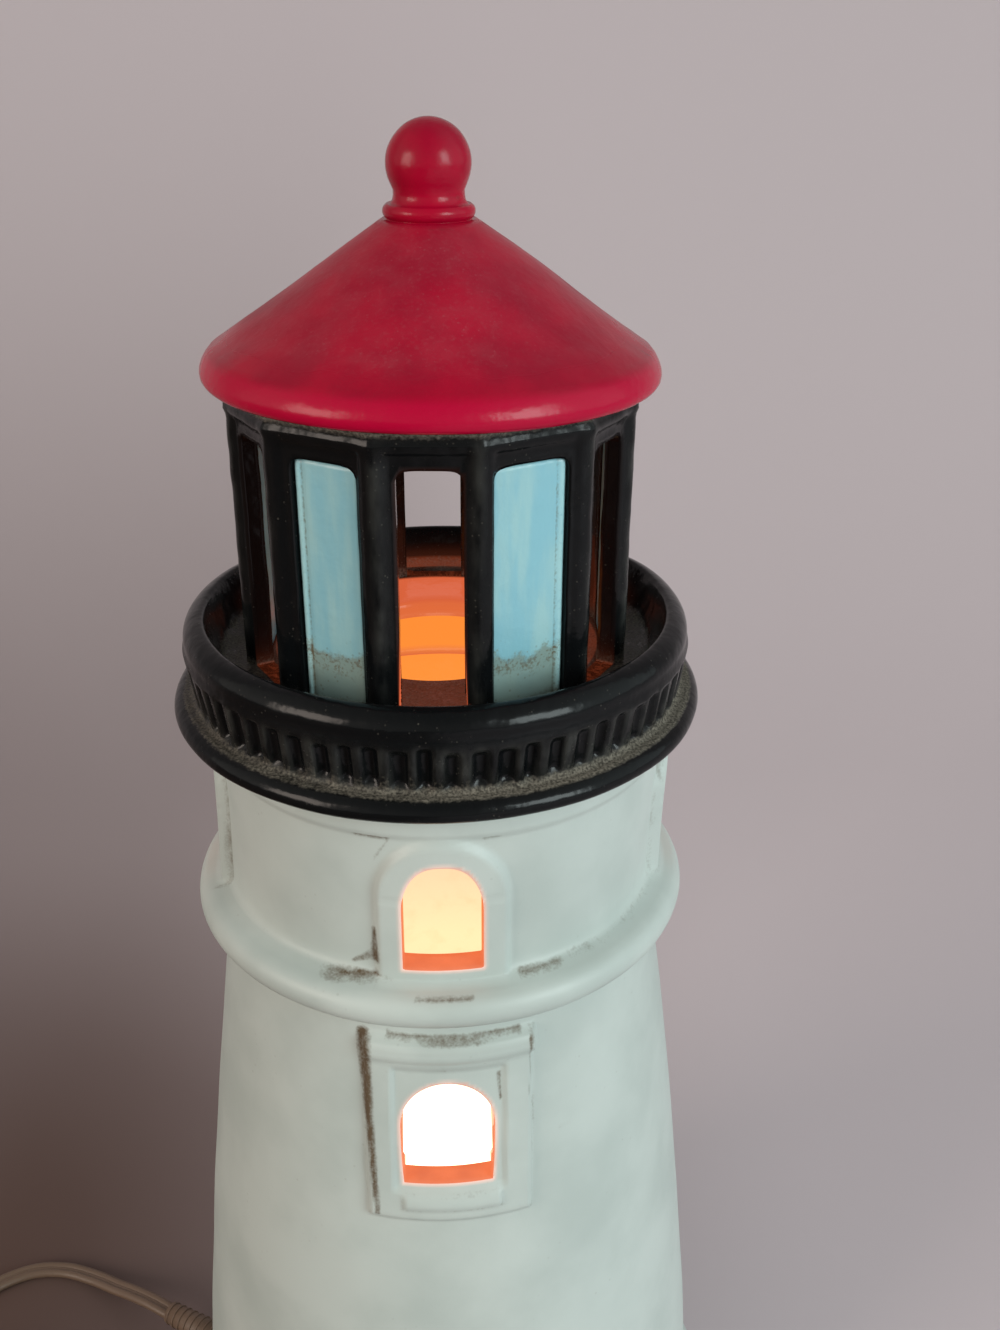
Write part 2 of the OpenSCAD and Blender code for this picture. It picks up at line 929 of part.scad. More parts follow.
// Hollow cone with rounded eaves, a collar, a short neck and a ball
module roof() {
    slope = tan(roof_slope);
    drop = roof_wall / cos(roof_slope);
    inner_r = lantern_r - lantern_wall;
    inner_top_r = 6;
    inner_top_z = roof_foot_z + (roof_cone_r - inner_top_r) * slope - drop;
    collar_bead_r = 1.5;
    stalk_r = ball_r - 1.3;
    color("crimson")
        difference() {
            rotate_extrude() {
                difference() {
                    polygon([[0, lantern_top], [roof_cone_r, lantern_top],
                        [eaves_r, lantern_top + eaves_bead_r], [eaves_r - 0.5, roof_foot_z - 1.6],
                        [roof_cone_r, roof_foot_z], [collar_r, collar_z], [0, collar_z]]);
                    polygon([[-1, lantern_top - 1], [inner_r, lantern_top - 1],
                        [inner_r, roof_foot_z + (roof_cone_r - inner_r) * slope - drop],
                        [inner_top_r, inner_top_z], [-1, inner_top_z]]);
                }
                translate([roof_cone_r, lantern_top + eaves_bead_r])
                    circle(r = eaves_bead_r);
                translate([collar_r - collar_bead_r, collar_z + 0.8 * collar_bead_r])
                    circle(r = collar_bead_r);
                translate([0, collar_z - 1])
                    square([stalk_r, ball_rise - 2.5]);
                intersection() {
                    translate([0, ball_z])
                        circle(r = ball_r);
                    translate([0, ball_z - ball_r])
                        square([ball_r, 2 * ball_r]);
                }
            }
        }
}

// Bushing and tapered boot, moulded on the cord where it leaves the plinth
module strain_relief() {
    boot_low_r = 4.8;
    boot_tip_r = 3.6;
    color("ivory")
        along_exit() {
            translate([0, 0, -relief_inset])
                cylinder(r = relief_r, h = relief_inset);
            translate([0, 0, -0.5])
                cylinder(r = relief_r + 1.5, h = 0.5 + snout_start);
            translate([0, 0, snout_start])
                cylinder(r1 = boot_low_r, r2 = boot_tip_r, h = snout_length);
        }
}

module inner_cord() {
    color("ivory")
        flat_cord(inner_route);
}

module cord_lead() {
    color("ivory")
        flat_cord(lead_route);
}

module cord_link() {
    color("ivory")
        flat_cord(link_route);
}

module cord_tail() {
    color("ivory")
        flat_cord(tail_route);
}

module cord_coil() {
    color("ivory")
        flat_cord(coil_route, sides = 6);
}

// Strap round the coil's turns on its far side
module cord_tie() {
    strap = 0.4;
    slack = 0.2;
    strap_w = 9;
    low_r = coil_outer_r - coil_pitch * coil_turns / coil_layers - cord_w / 2 - slack;
    high_r = coil_outer_r + cord_w / 2 + slack;
    top_z = coil_high_z + rest_z + slack;
    color("dimgray")
        translate([coil_mid.x - strap_w / 2, coil_mid.y, 0])
            difference() {
                translate([0, -high_r - strap, 0])
                    cube([strap_w, high_r - low_r + 2 * strap, top_z + strap]);
                translate([-1, -high_r, strap])
                    cube([strap_w + 2, high_r - low_r, top_z - strap]);
            }
}

// Plan of the inline switch, with round ends
module switch_plan(inset) {
    end_r = 9;
    for (side = [-1, 1], end = [-1, 1])
        translate([side * (switch_w / 2 - end_r), end * (switch_length / 2 - end_r)])
            circle(r = end_r - inset);
    square([switch_w - 2 * inset, switch_length - 2 * end_r], center = true);
    square([switch_w - 2 * end_r, switch_length - 2 * inset], center = true);
}

// Flat slots at both ends where the cord goes in and out
module switch_cord_slots() {
    for (y = [switch_y - slot_depth, switch_y - switch_length - 1])
        translate([switch_x - cord_w / 2, y, switch_cord_z - cord_h / 2])
            cube([cord_w, slot_depth + 1, cord_h]);
}

// Holes for the two screws, wide enough at the bottom for their heads
module switch_screw_holes() {
    for (end = [-1, 1])
        translate([switch_x + end * screw_place.x, rocker_y + end * screw_place.y, -1]) {
            cylinder(r = screw_r + 0.05, h = 14);
            cylinder(r = screw_head_r + 0.2, h = screw_head_z + screw_head_h + 1);
        }
}

module switch_base() {
    color("ivory")
        difference() {
            translate([switch_x, rocker_y, 0])
                linear_extrude(height = switch_split_z)
                    switch_plan(0);
            translate([switch_x, rocker_y, switch_floor_h])
                linear_extrude(height = switch_split_z)
                    square([switch_w - 2 * switch_wall, switch_length - 2 * slot_depth], center = true);
            switch_cord_slots();
            switch_screw_holes();
        }
}

module switch_cover() {
    step_h = 3;
    roof_h = 2;
    room_l = 30;
    color("ivory")
        difference() {
            union() {
                translate([switch_x, rocker_y, switch_split_z])
                    linear_extrude(height = switch_h - switch_split_z - step_h)
                        switch_plan(0);
                translate([switch_x, rocker_y, switch_h - step_h])
                    linear_extrude(height = step_h)
                        switch_plan(1.5);
            }
            translate([switch_x, rocker_y, switch_split_z - 1])
                linear_extrude(height = switch_h - switch_split_z - roof_h + 1)
                    square([switch_w - 2 * switch_wall, room_l], center = true);
            translate([switch_x, rocker_y, switch_h])
                cube([rocker_w + 1, rocker_length + 2 * rocker_gap, 2 * step_h], center = true);
            translate([switch_x, rocker_y, rocker_axis_z])
                rotate([0, 90, 0])
                    cylinder(r = rocker_pin_r + 0.1, h = rocker_pin_l + 0.6, center = true);
            switch_screw_holes();
        }
}

// Rocker button on a cross pin, shown tilted to on
module switch_rocker() {
    rocker_h = switch_h + 1.2 - rocker_axis_z;
    dish_r = 30;
    dish_depth = 1;
    color("ivory")
        translate([switch_x, rocker_y, rocker_axis_z])
            rotate([rocker_tilt, 0, 0]) {
                difference() {
                    translate([-rocker_w / 2, -rocker_length / 2, 0])
                        cube([rocker_w, rocker_length, rocker_h]);
                    translate([0, 0, rocker_h + dish_r - dish_depth])
                        rotate([0, 90, 0])
                            cylinder(r = dish_r, h = rocker_w + 2, center = true);
                }
                rotate([0, 90, 0])
                    cylinder(r = rocker_pin_r, h = rocker_pin_l, center = true);
            }
}

module switch_screws() {
    color("silver")
        for (end = [-1, 1])
            translate([switch_x + end * screw_place.x, rocker_y + end * screw_place.y, screw_head_z])
                difference() {
                    union() {
                        cylinder(r = screw_r, h = 11);
                        cylinder(r = screw_head_r, h = screw_head_h);
                    }
                    translate([-4, -0.3, -1])
                        cube([8, 0.6, 1.6]);
                }
}

// The two brass leaves that take the cut cores' ends and that the rocker joins
module switch_contacts() {
    leaf_w = 6;
    leaf_l = 13;
    leaf_h = 0.8;
    upright_h = 5;
    end_y = switch_length / 2 - slot_depth;
    color("gold")
        for (end = [-1, 1])
            translate([switch_x, rocker_y + end * (end_y - leaf_l / 2), switch_floor_h]) {
                translate([-leaf_w / 2, -leaf_l / 2, 0])
                    cube([leaf_w, leaf_l, leaf_h]);
                translate([-leaf_w / 2, end * (leaf_l - leaf_h) / 2 - leaf_h / 2, 0])
                    cube([leaf_w, leaf_h, upright_h]);
            }
}

// Two-pin plug with a tapered boot, lying flat on the table
module plug_body() {
    half_w = plug_w / 2;
    heel_w = 6;
    shoulder_l = 9;
    color("ivory") {
        translate([tail_x, plug_y + boot_l, plug_z - plug_h / 2])
            linear_extrude(height = plug_h)
                polygon([[-heel_w, 0], [heel_w, 0], [half_w, shoulder_l],
                    [half_w, plug_l], [-half_w, plug_l], [-half_w, shoulder_l]]);
        translate([tail_x, plug_y, plug_z])
            rotate([-90, 0, 0])
                cylinder(r1 = 3.8, r2 = 5, h = boot_l);
    }
}

module plug_blades() {
    blade_gap = 12.7;
    blade_t = 1.5;
    blade_w = 6.3;
    blade_l = 17;
    hole_r = 1.5;
    face_y = plug_y + boot_l + plug_l;
    color("gold")
        for (side = [-1, 1])
            translate([tail_x + side * blade_gap / 2 - blade_t / 2, face_y, plug_z - blade_w / 2])
                difference() {
                    cube([blade_t, blade_l, blade_w]);
                    translate([-1, blade_l - 3.5, blade_w / 2])
                        rotate([0, 90, 0])
                            cylinder(r = hole_r, h = blade_t + 2);
                }
}

felt_base();
tower();
clamp_plate(floor_z - plate_h);  // clamp_plate_lower
clamp_plate(upper_plate_z);  // clamp_plate_upper
nipple();
lock_washer();
hex_nut(floor_z - plate_h - nut_h);  // hex_nut_lower
hex_nut(upper_nut_z);  // hex_nut_upper
socket_cap();
socket_shell();
socket_sleeve();
socket_body();
screw_shell();
centre_contact();
terminal_screws();
socket_leads();
bulb_glass();
bulb_base();
bulb_insulator();
bulb_contact();
bulb_stem();
bulb_filament();
gallery();
lantern_room();
pane(0);  // pane_front_right
pane(1);  // pane_right
pane(2);  // pane_back_right
pane(3);  // pane_back_left
pane(4);  // pane_left
pane(5);  // pane_front_left
roof();
inner_cord();
strain_relief();
cord_lead();
switch_base();
switch_cover();
switch_rocker();
switch_screws();
switch_contacts();
cord_link();
cord_coil();
cord_tie();
cord_tail();
plug_body();
plug_blades();
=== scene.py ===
"""Dresses the lighthouse accent lamp: glazes, glow, dust, fittings and the mains cord.

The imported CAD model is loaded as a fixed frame. The ceramic pieces are built again here with the
softness of a slip casting, and every other piece keeps its CAD shape and gets a finish of its own.
Sizes are in millimetres up to the moment when a mesh is made, and metres after that.
"""

from __future__ import annotations

import logging
import math
from dataclasses import dataclass, field
from enum import Enum, IntEnum
from typing import Any, Callable, Protocol, Sequence

import bmesh
import bpy
import numpy as np
from mathutils import Matrix, Vector, noise

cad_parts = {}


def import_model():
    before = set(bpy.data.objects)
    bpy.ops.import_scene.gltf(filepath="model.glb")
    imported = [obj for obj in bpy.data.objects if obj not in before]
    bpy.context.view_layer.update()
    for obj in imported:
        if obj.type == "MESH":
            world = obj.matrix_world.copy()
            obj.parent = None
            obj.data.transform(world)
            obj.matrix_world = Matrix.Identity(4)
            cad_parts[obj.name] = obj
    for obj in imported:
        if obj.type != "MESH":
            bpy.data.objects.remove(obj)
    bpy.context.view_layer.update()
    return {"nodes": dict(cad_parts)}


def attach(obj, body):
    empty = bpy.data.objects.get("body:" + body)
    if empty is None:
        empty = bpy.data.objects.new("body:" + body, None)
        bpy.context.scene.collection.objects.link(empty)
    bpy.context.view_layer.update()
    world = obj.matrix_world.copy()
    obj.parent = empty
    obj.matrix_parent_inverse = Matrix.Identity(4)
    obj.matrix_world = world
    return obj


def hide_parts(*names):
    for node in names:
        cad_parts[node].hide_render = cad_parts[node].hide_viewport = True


MM = 0.001
LOG = logging.getLogger("lighthouse_lamp")

# Place across a side for points that face another way
FAR = 999.0

Rgb = tuple[float, float, float]
Point = tuple[float, float, float]
# Across and up, or radius and height
Place = tuple[float, float]
# Left, right, low and high
Box = tuple[float, float, float, float]
# Half width, foot and top
Arch = tuple[float, float, float]
Face = tuple[int, ...]


# Small numeric helpers


def smooth(low: float, high: float, value: np.ndarray | float) -> np.ndarray | float:
    """Return 0 below low, 1 above high and an eased value between.

    Args:
        low: value where the result starts to rise.
        high: value where the result reaches 1.
        value: what is looked up, a number or an array.

    Returns:
        The eased value, of the same kind as value.
    """
    t = np.clip((value - low) / (high - low), 0.0, 1.0)
    return t * t * (3.0 - 2.0 * t)


def srgb(red: int, green: int, blue: int) -> Rgb:
    """Turn a colour written in 0 to 255 display values into linear light.

    Args:
        red: display red.
        green: display green.
        blue: display blue.

    Returns:
        The linear colour.
    """
    def linear(part: int) -> float:
        """Linear value of one display channel."""
        c = part / 255.0
        return c / 12.92 if c <= 0.04045 else ((c + 0.055) / 1.055) ** 2.4

    return linear(red), linear(green), linear(blue)


def scaled(colour: Rgb, part: float) -> Rgb:
    """The same colour, darker or lighter."""
    return tuple(part * channel for channel in colour)


def lumps(points: np.ndarray, size: float, seed: float) -> np.ndarray:
    """Slow hand-made unevenness at each point.

    Args:
        points: positions in millimetres, one row each.
        size: distance between lumps in millimetres.
        seed: shift that makes one piece differ from the next.

    Returns:
        Values from about -1 to 1, one per point.
    """
    shift = Vector((seed, 1.7 * seed, -seed))
    return np.array([noise.noise(Vector(p) / size + shift) for p in points])


def bell(value: np.ndarray, width: np.ndarray | float) -> np.ndarray:
    """Return 1 where value is nought, 0.37 one width away and almost nothing beyond two."""
    return np.exp(-((value / width) ** 2))


def turn_from(bearing: np.ndarray, other: float) -> np.ndarray:
    """Shortest turn from another bearing, in radians."""
    return (bearing - other + math.pi) % (2 * math.pi) - math.pi


def face_across(bearing: np.ndarray, radius: np.ndarray) -> np.ndarray:
    """Places across the side at bearing nought, far away for the other sides."""
    return np.where(np.cos(bearing) > 0.2, radius * np.sin(bearing), FAR)


def spun(radius: np.ndarray, bearing: np.ndarray, z: np.ndarray) -> np.ndarray:
    """Points round the z axis.

    Args:
        radius: distance of each one from the axis.
        bearing: its bearing from the front towards +X, in radians.
        z: its height.

    Returns:
        One row per point.
    """
    return np.stack([radius * np.sin(bearing), -radius * np.cos(bearing), z], axis=-1).reshape(-1, 3)


def push_out(points: np.ndarray, amount: np.ndarray, radius: np.ndarray) -> None:
    """Move points straight away from the z axis.

    Args:
        points: the points, changed in place.
        amount: how far each one moves.
        radius: its distance from the axis.
    """
    points[:, :2] *= (1.0 + amount / radius)[:, None]


# Shader graphs


def operator(operation: str, swapped: bool = False) -> Callable[[Term, Term | float], Term]:
    """Make a method that works out two values with a Math node.

    Args:
        operation: the node's operation.
        swapped: whether the other value comes first.

    Returns:
        The method.
    """
    def work_out(self: Term, other: Term | float) -> Term:
        """Work out two values.

        Args:
            self: the term that the method belongs to.
            other: a term or a number.

        Returns:
            The node's result.
        """
        node = self.tree.nodes.new("ShaderNodeMath")
        node.operation = operation
        for socket, value in zip(node.inputs, (other, self) if swapped else (self, other)):
            connect(self.tree, socket, value)
        return Term(self.tree, node.outputs[0])

    return work_out


class Term:
    """Output socket of a node that takes part in Python arithmetic."""

    def __init__(self, tree: bpy.types.NodeTree, socket: bpy.types.NodeSocket) -> None:
        """Wrap one output socket of a tree."""
        self.tree = tree
        self.socket = socket

    __add__ = operator("ADD")
    __radd__ = operator("ADD", swapped=True)
    __sub__ = operator("SUBTRACT")
    __rsub__ = operator("SUBTRACT", swapped=True)
    __mul__ = operator("MULTIPLY")
    __rmul__ = operator("MULTIPLY", swapped=True)
    __truediv__ = operator("DIVIDE")
    low = operator("MINIMUM")
    high = operator("MAXIMUM")

    def clamp(self) -> Term:
        """The value held between 0 and 1."""
        return self.high(0.0).low(1.0)

    def ease(self, start: float, stop: float) -> Term:
        """Rise smoothly from 0 at start to 1 at stop.

        Args:
            start: value where the result leaves 0.
            stop: value where the result reaches 1.

        Returns:
            The eased term.
        """
        t = ((self - start) * (1.0 / (stop - start))).clamp()
        return t * t * (3.0 - 2.0 * t)


def connect(tree: bpy.types.NodeTree, socket: bpy.types.NodeSocket, value: Any) -> None:
    """Give a socket a link or a plain value.

    Args:
        tree: the tree that holds the socket.
        socket: input socket.
        value: a term, a number or a tuple.
    """
    if isinstance(value, Term):
        tree.links.new(value.socket, socket)
    elif isinstance(value, tuple) and socket.type == "RGBA":
        socket.default_value = (*value[:3], 1.0)
    else:
        socket.default_value = value


class Nodes:
    """A node tree that takes any node."""

    def __init__(self, tree: bpy.types.NodeTree) -> None:
        """Work on a tree that is there."""
        self.tree = tree

    def add(
        self,
        kind: str,
        settings: dict[str, Any] | None = None,
        values: dict[str | int, Any] | None = None,
        output: str | int = 0,
        stops: Sequence[tuple[float, Rgb]] | None = None,
    ) -> Term:
        """Add any node.

        Args:
            kind: the node's type.
            settings: its properties, set before its sockets.
            values: terms, numbers or tuples for its inputs, by name or index.
            output: the output that is wanted.
            stops: positions and colours of a colour ramp.

        Returns:
            The wanted output.
        """
        node = self.tree.nodes.new(kind)
        for key, value in (settings or {}).items():
            setattr(node, key, value)
        if stops is not None:
            elements = node.color_ramp.elements
            while len(elements) < len(stops):
                elements.new(1.0)
            for element, (position, colour) in zip(elements, stops):
                element.position = position
                element.color = (*colour, 1.0)
        for key, value in (values or {}).items():
            connect(self.tree, node.inputs[key], value)
        return Term(self.tree, node.outputs[output])

    def mix(self, factor: Term | float, first: Any, second: Any) -> Term:
        """Blend two colours.

        Args:
            factor: 0 gives the first colour and 1 the second.
            first: a colour or a term.
            second: a colour or a term.

        Returns:
            The blended colour.
        """
        return self.add(
            "ShaderNodeMix",
            {"data_type": "RGBA"},
            {0: factor, 6: first, 7: second},
            output=2,
        )


class Graph(Nodes):
    """A material's node tree with one Principled shader in it."""

    def __init__(self, name: str) -> None:
        """Make an empty material.

        Args:
            name: what it is called.
        """
        self.material = bpy.data.materials.new(name)
        self.material.use_nodes = True
        super().__init__(self.material.node_tree)
        self.shader = next(n for n in self.tree.nodes if n.type == "BSDF_PRINCIPLED")
        self._place: Term | None = None

    def place(self) -> Term:
        """Object coordinates, in metres."""
        if self._place is None:
            self._place = self.add("ShaderNodeTexCoord", output="Object")
        return self._place

    def axis(self, name: str) -> Term:
        """One of X, Y or Z of the object coordinates."""
        return self.add("ShaderNodeSeparateXYZ", values={0: self.place()}, output=name)

    def attribute(self, name: str) -> Term:
        """A number stored on the mesh's points."""
        return self.add("ShaderNodeAttribute", {"attribute_name": name}, output="Fac")

    def grain(self, size: float, detail: float = 3.0, stretch: Point = (1.0, 1.0, 1.0)) -> Term:
        """Noise from 0 to 1.

        Args:
            size: distance between blotches in millimetres.
            detail: number of finer layers.
            stretch: scale along each axis, below 1 for longer blotches.

        Returns:
            The noise value.
        """
        where = self.add("ShaderNodeMapping", values={"Vector": self.place(), "Scale": stretch})
        return self.add(
            "ShaderNodeTexNoise",
            values={"Vector": where, "Scale": 1.0 / (size * MM), "Detail": detail},
        )

    def cells(self, size: float) -> Term:
        """Distance to the nearest of many scattered points, 0 at a point.

        Args:
            size: distance between points in millimetres.

        Returns:
            The distance as a part of size.
        """
        return self.add(
            "ShaderNodeTexVoronoi",
            values={"Vector": self.place(), "Scale": 1.0 / (size * MM)},
            output="Distance",
        )

    def ramp(self, factor: Term, stops: Sequence[tuple[float, Rgb]]) -> Term:
        """Look a value up in a row of colours."""
        return self.add("ShaderNodeValToRGB", values={0: factor}, stops=stops)

    def bump(self, height: Term, depth: float, strength: float = 1.0) -> Term:
        """Turn a height from 0 to 1 into a normal.

        Args:
            height: the height pattern.
            depth: height of the value 1 in millimetres.
            strength: share of the effect.

        Returns:
            The bent normal.
        """
        return self.add(
            "ShaderNodeBump",
            values={"Height": height, "Distance": depth * MM, "Strength": strength},
        )

    def finish(self, **sockets: Any) -> bpy.types.Material:
        """Set the shader's sockets and return the material.

        Args:
            sockets: values by socket name, with underscores for spaces.

        Returns:
            The finished material.
        """
        for key, value in sockets.items():
            connect(self.tree, self.shader.inputs[key.replace("_", " ")], value)
        return self.material


# Finishes


class Finish(Protocol):
    """Look of a piece."""

    def make(self) -> bpy.types.Material:
        """Build the material."""


@dataclass(frozen=True)
class WhiteGlaze:
    """Cool white satin glaze on the tower, with brown dirt in its grooves, painted shade beside its reliefs,
    and lit window rims.
    """

    colour: Rgb = srgb(192, 202, 197)
    shade: Rgb = srgb(178, 189, 184)
    # Brown of the dirt, also used for the painted shade beside the reliefs
    dirt: Rgb = srgb(92, 77, 57)
    rim: Rgb = srgb(255, 146, 112)
    roughness: float = 0.4

    def make(self) -> bpy.types.Material:
        """Build the material.

        Returns:
            The material, which reads the mesh's dirt and rim attributes.
        """
        g = Graph("white_glaze_finish")
        cloud = g.grain(30.0, 4.0)
        pores = g.cells(2.6).ease(0.16, 0.04) * g.grain(9.0, 1.0).ease(0.5, 0.72)
        dirt = g.attribute("dirt")
        fine = g.grain(0.55, 4.0)
        streak = g.grain(1.8, 4.0, (1.0, 1.0, 0.4))
        # Dirt and, beside the front's reliefs, painted shade
        grime = dirt * 1.25 - 0.3 + ((fine - 0.5) * 0.9 + (streak - 0.5) * 1.2) * dirt.ease(0.02, 0.4)
        grime = grime.clamp() * 0.92
        haze = (dirt * 0.22 + pores * 0.3).clamp()
        base = g.mix(cloud.ease(0.35, 0.7), self.colour, self.shade)
        base = g.mix((haze * 0.55 + grime).clamp(), base, self.dirt)
        skin = g.grain(2.2, 3.0) * 0.35 + g.grain(14.0, 2.0)
        return g.finish(
            Base_Color=base,
            Emission_Color=g.mix(g.attribute("rim"), (0.0, 0.0, 0.0), self.rim),
            Emission_Strength=0.55,
            Roughness=self.roughness + grime * 0.4 + cloud * 0.08,
            Normal=g.bump(skin, 0.16, 0.8),
            IOR=1.5,
        )


@dataclass(frozen=True)
class LitInside:
    """Bare ceramic inside the tower, bright orange to pale yellow in the bulb's light."""

    top: float = 0.3
    stain: Rgb = (0.85, 0.3, 0.07)
    edge: Rgb = srgb(244, 118, 70)
    dark_edge: Rgb = srgb(206, 92, 56)
    # Part of the top's height in metres, and the light there
    stops: tuple[tuple[float, Rgb], ...] = (
        (0.08, (0.25, 0.05, 0.008)),
        (0.2, (0.9, 0.34, 0.08)),
        (0.34, (1.0, 0.8, 0.44)),
        (0.5, (1.0, 0.8, 0.45)),
        (0.6, (1.0, 0.64, 0.4)),
        (0.7, (1.0, 0.4, 0.14)),
        (0.8, (1.0, 0.262, 0.034)),
    )

    def make(self) -> bpy.types.Material:
        """Build the material.

        Returns:
            The material, which glows by height and by the mesh's reveal attribute.
        """
        g = Graph("lit_inside_finish")
        wall = g.ramp(g.axis("Z") * (1.0 / self.top), self.stops)
        blotch = g.grain(5.0, 4.0)
        wall = g.mix(blotch.ease(0.45, 0.8) * 0.12, wall, self.stain)
        glow = g.mix(g.attribute("reveal"), wall, g.mix(blotch, self.edge, self.dark_edge))
        return g.finish(
            Base_Color=(0.1, 0.07, 0.045),
            Roughness=0.8,
            Emission_Color=glow,
            Emission_Strength=1.0,
            Normal=g.bump(g.grain(3.0, 4.0), 0.3),
        )


@dataclass(frozen=True)
class BlackGlaze:
    """Glossy black glaze with dust where it settles, painted highlight streaks, and the bulb's light on its
    inside.
    """

    colour: Rgb = (0.0035, 0.0042, 0.0048)
    dust: Rgb = srgb(132, 126, 114)
    soot: Rgb = srgb(54, 50, 44)
    # Grey of the painted highlight streaks along the posts and the flutes' ribs
    rub_and_sheen: Rgb = srgb(72, 73, 70)
    dim: Rgb = srgb(50, 20, 10)
    salmon: Rgb = srgb(216, 98, 60)
    bright: Rgb = srgb(255, 142, 54)

    def make(self) -> bpy.types.Material:
        """Build the material.

        Returns:
            The material, which reads the mesh's dirt and glow attributes, and the attribute that paints grey
            highlight streaks.
        """
        g = Graph("black_glaze_finish")
        dirt = g.attribute("dirt")
        fine = g.grain(0.8, 4.0)
        patch = g.grain(4.5, 4.0)
        load = dirt * 1.6 - 0.5 + (fine - 0.5) * 0.8 + (patch - 0.5) * 0.7
        dust = load.ease(0.05, 0.8) * dirt.ease(0.04, 0.25)
        flecks = g.cells(1.3).ease(0.2, 0.07) * g.grain(6.0, 2.0).ease(0.45, 0.65)
        powder = g.mix(g.grain(0.5, 3.0).ease(0.25, 0.75), self.soot, self.dust)
        # Painted highlight: grey streaks stand in for reflections on the posts and ribs
        wear_and_sheen = g.attribute("rub_and_sheen") * g.grain(2.5, 5.0, (1.0, 1.0, 0.35)).ease(0.3, 0.7)
        base = g.mix(wear_and_sheen, self.colour, self.rub_and_sheen)
        base = g.mix((dust * 0.9 + flecks * 0.2 + dirt * 0.03).clamp(), base, powder)
        lit = g.ramp(
            g.attribute("glow"),
            [(0.0, (0.0, 0.0, 0.0)), (0.3, self.dim), (0.6, self.salmon), (1.0, self.bright)],
        )
        return g.finish(
            Base_Color=base,
            Roughness=(0.18 + wear_and_sheen * 0.25 + dust * 0.6 + flecks * 0.3).clamp(),
            Emission_Color=g.mix(dust * 0.5, lit, (0.0, 0.0, 0.0)),
            Emission_Strength=1.0,
            Normal=g.bump(fine * dust * 0.15 + g.grain(4.5, 2.0) * 0.7, 0.35, 0.9),
            IOR=1.5,
            Specular_IOR_Level=0.18,
        )


@dataclass(frozen=True)
class RedGlaze:
    """Deep crimson glaze on the roof, with fine dust that stops short of its rim, and a painted highlight
    that brightens the rim.
    """

    colour: Rgb = srgb(166, 6, 42)
    deep: Rgb = srgb(146, 5, 38)
    # Brighter red of the eaves band, a painted highlight where it faces the side lamps
    rim: Rgb = srgb(176, 4, 50)
    haze: Rgb = srgb(160, 84, 92)
    dirt: Rgb = srgb(70, 36, 30)

    def make(self) -> bpy.types.Material:
        """Build the material.

        Returns:
            The material, which reads the mesh's dirt, haze and rim attributes.
        """
        g = Graph("red_glaze_finish")
        cloud = g.grain(13.0, 4.0)
        haze = g.attribute("haze")
        base = g.mix(cloud.ease(0.3, 0.7), self.colour, self.deep)
        # Painted highlight: the eaves band takes the brighter red
        base = g.mix(g.attribute("rim"), base, self.rim)
        specks = g.cells(1.2).ease(0.24, 0.1) * g.grain(4.0, 2.0).ease(0.42, 0.6)
        fine = g.grain(0.8, 4.0).ease(0.5, 0.7)
        veil = haze * (g.grain(5.0, 4.0).ease(0.3, 0.8) * 0.2 + fine * 0.16 + 0.05) + specks * 0.35 * haze
        base = g.mix(veil.clamp(), base, self.haze)
        dirt = g.attribute("dirt")
        grime = (dirt * 1.4 - 0.4 + (g.grain(1.2, 4.0) - 0.5) * dirt.ease(0.02, 0.3)).clamp()
        base = g.mix(grime * 0.8, base, self.dirt)
        return g.finish(
            Base_Color=base,
            Roughness=(0.2 + haze * 0.2 + cloud * 0.08 + grime * 0.3).clamp(),
            Normal=g.bump(g.grain(1.8, 3.0) * 0.4 + g.grain(9.0, 2.0), 0.28, 0.8),
            IOR=1.5,
            Specular_IOR_Level=0.2,
        )


@dataclass(frozen=True)
class BlueGlaze:
    """Pale blue glaze of the panes, with a ragged tide line of dirt above a dull foot."""

    colour: Rgb = srgb(134, 189, 202)
    pale: Rgb = srgb(155, 199, 203)
    foot: Rgb = srgb(126, 142, 131)
    dirt: Rgb = srgb(96, 88, 66)
    strip: Rgb = srgb(170, 216, 220)

    def make(self) -> bpy.types.Material:
        """Build the material.

        Returns:
            The material, which reads the mesh's dirt, strip and tide attributes.
        """
        g = Graph("blue_glaze_finish")
        streak = g.grain(4.0, 4.0, (1.0, 1.0, 0.2))
        fine = g.grain(0.6, 5.0)
        ragged = g.grain(2.4, 5.0)
        level = g.attribute("tide") + (ragged - 0.5) * 7.0 + (fine - 0.5) * 3.0
        below = level.ease(0.6, -0.6)
        band = level.ease(-4.5, -0.5) * level.ease(1.6, 0.2) * (fine + ragged * 0.6).ease(0.74, 0.98)
        specks = g.cells(1.4).ease(0.25, 0.1) * g.attribute("tide").ease(6.0, -2.0)
        dirt = g.attribute("dirt")
        grime = dirt * 1.3 - 0.4 + ((fine - 0.5) * 1.4 + (ragged - 0.5) * 1.0) * dirt.ease(0.02, 0.4)
        base = g.mix(streak.ease(0.35, 0.7), self.colour, self.pale)
        base = g.mix(below * 0.8, base, self.foot)
        base = g.mix(g.attribute("strip") * fine.ease(0.2, 0.5), base, self.strip)
        base = g.mix((band * 0.75 + specks * 0.45 + grime.clamp()).clamp(), base, self.dirt)
        return g.finish(
            Base_Color=base,
            Roughness=(0.3 + below * 0.15 + band * 0.4).clamp(),
            Normal=g.bump(g.grain(3.0, 3.0), 0.22, 0.8),
            IOR=1.5,
        )


class Metal(Enum):
    """Metals of the fittings, with base colour and roughness."""

    ZINC = ((0.62, 0.62, 0.6), 0.36)
    BRASS = ((0.74, 0.53, 0.24), 0.28)
    COPPER = ((0.72, 0.36, 0.2), 0.3)
    ALUMINIUM = ((0.8, 0.8, 0.79), 0.3)


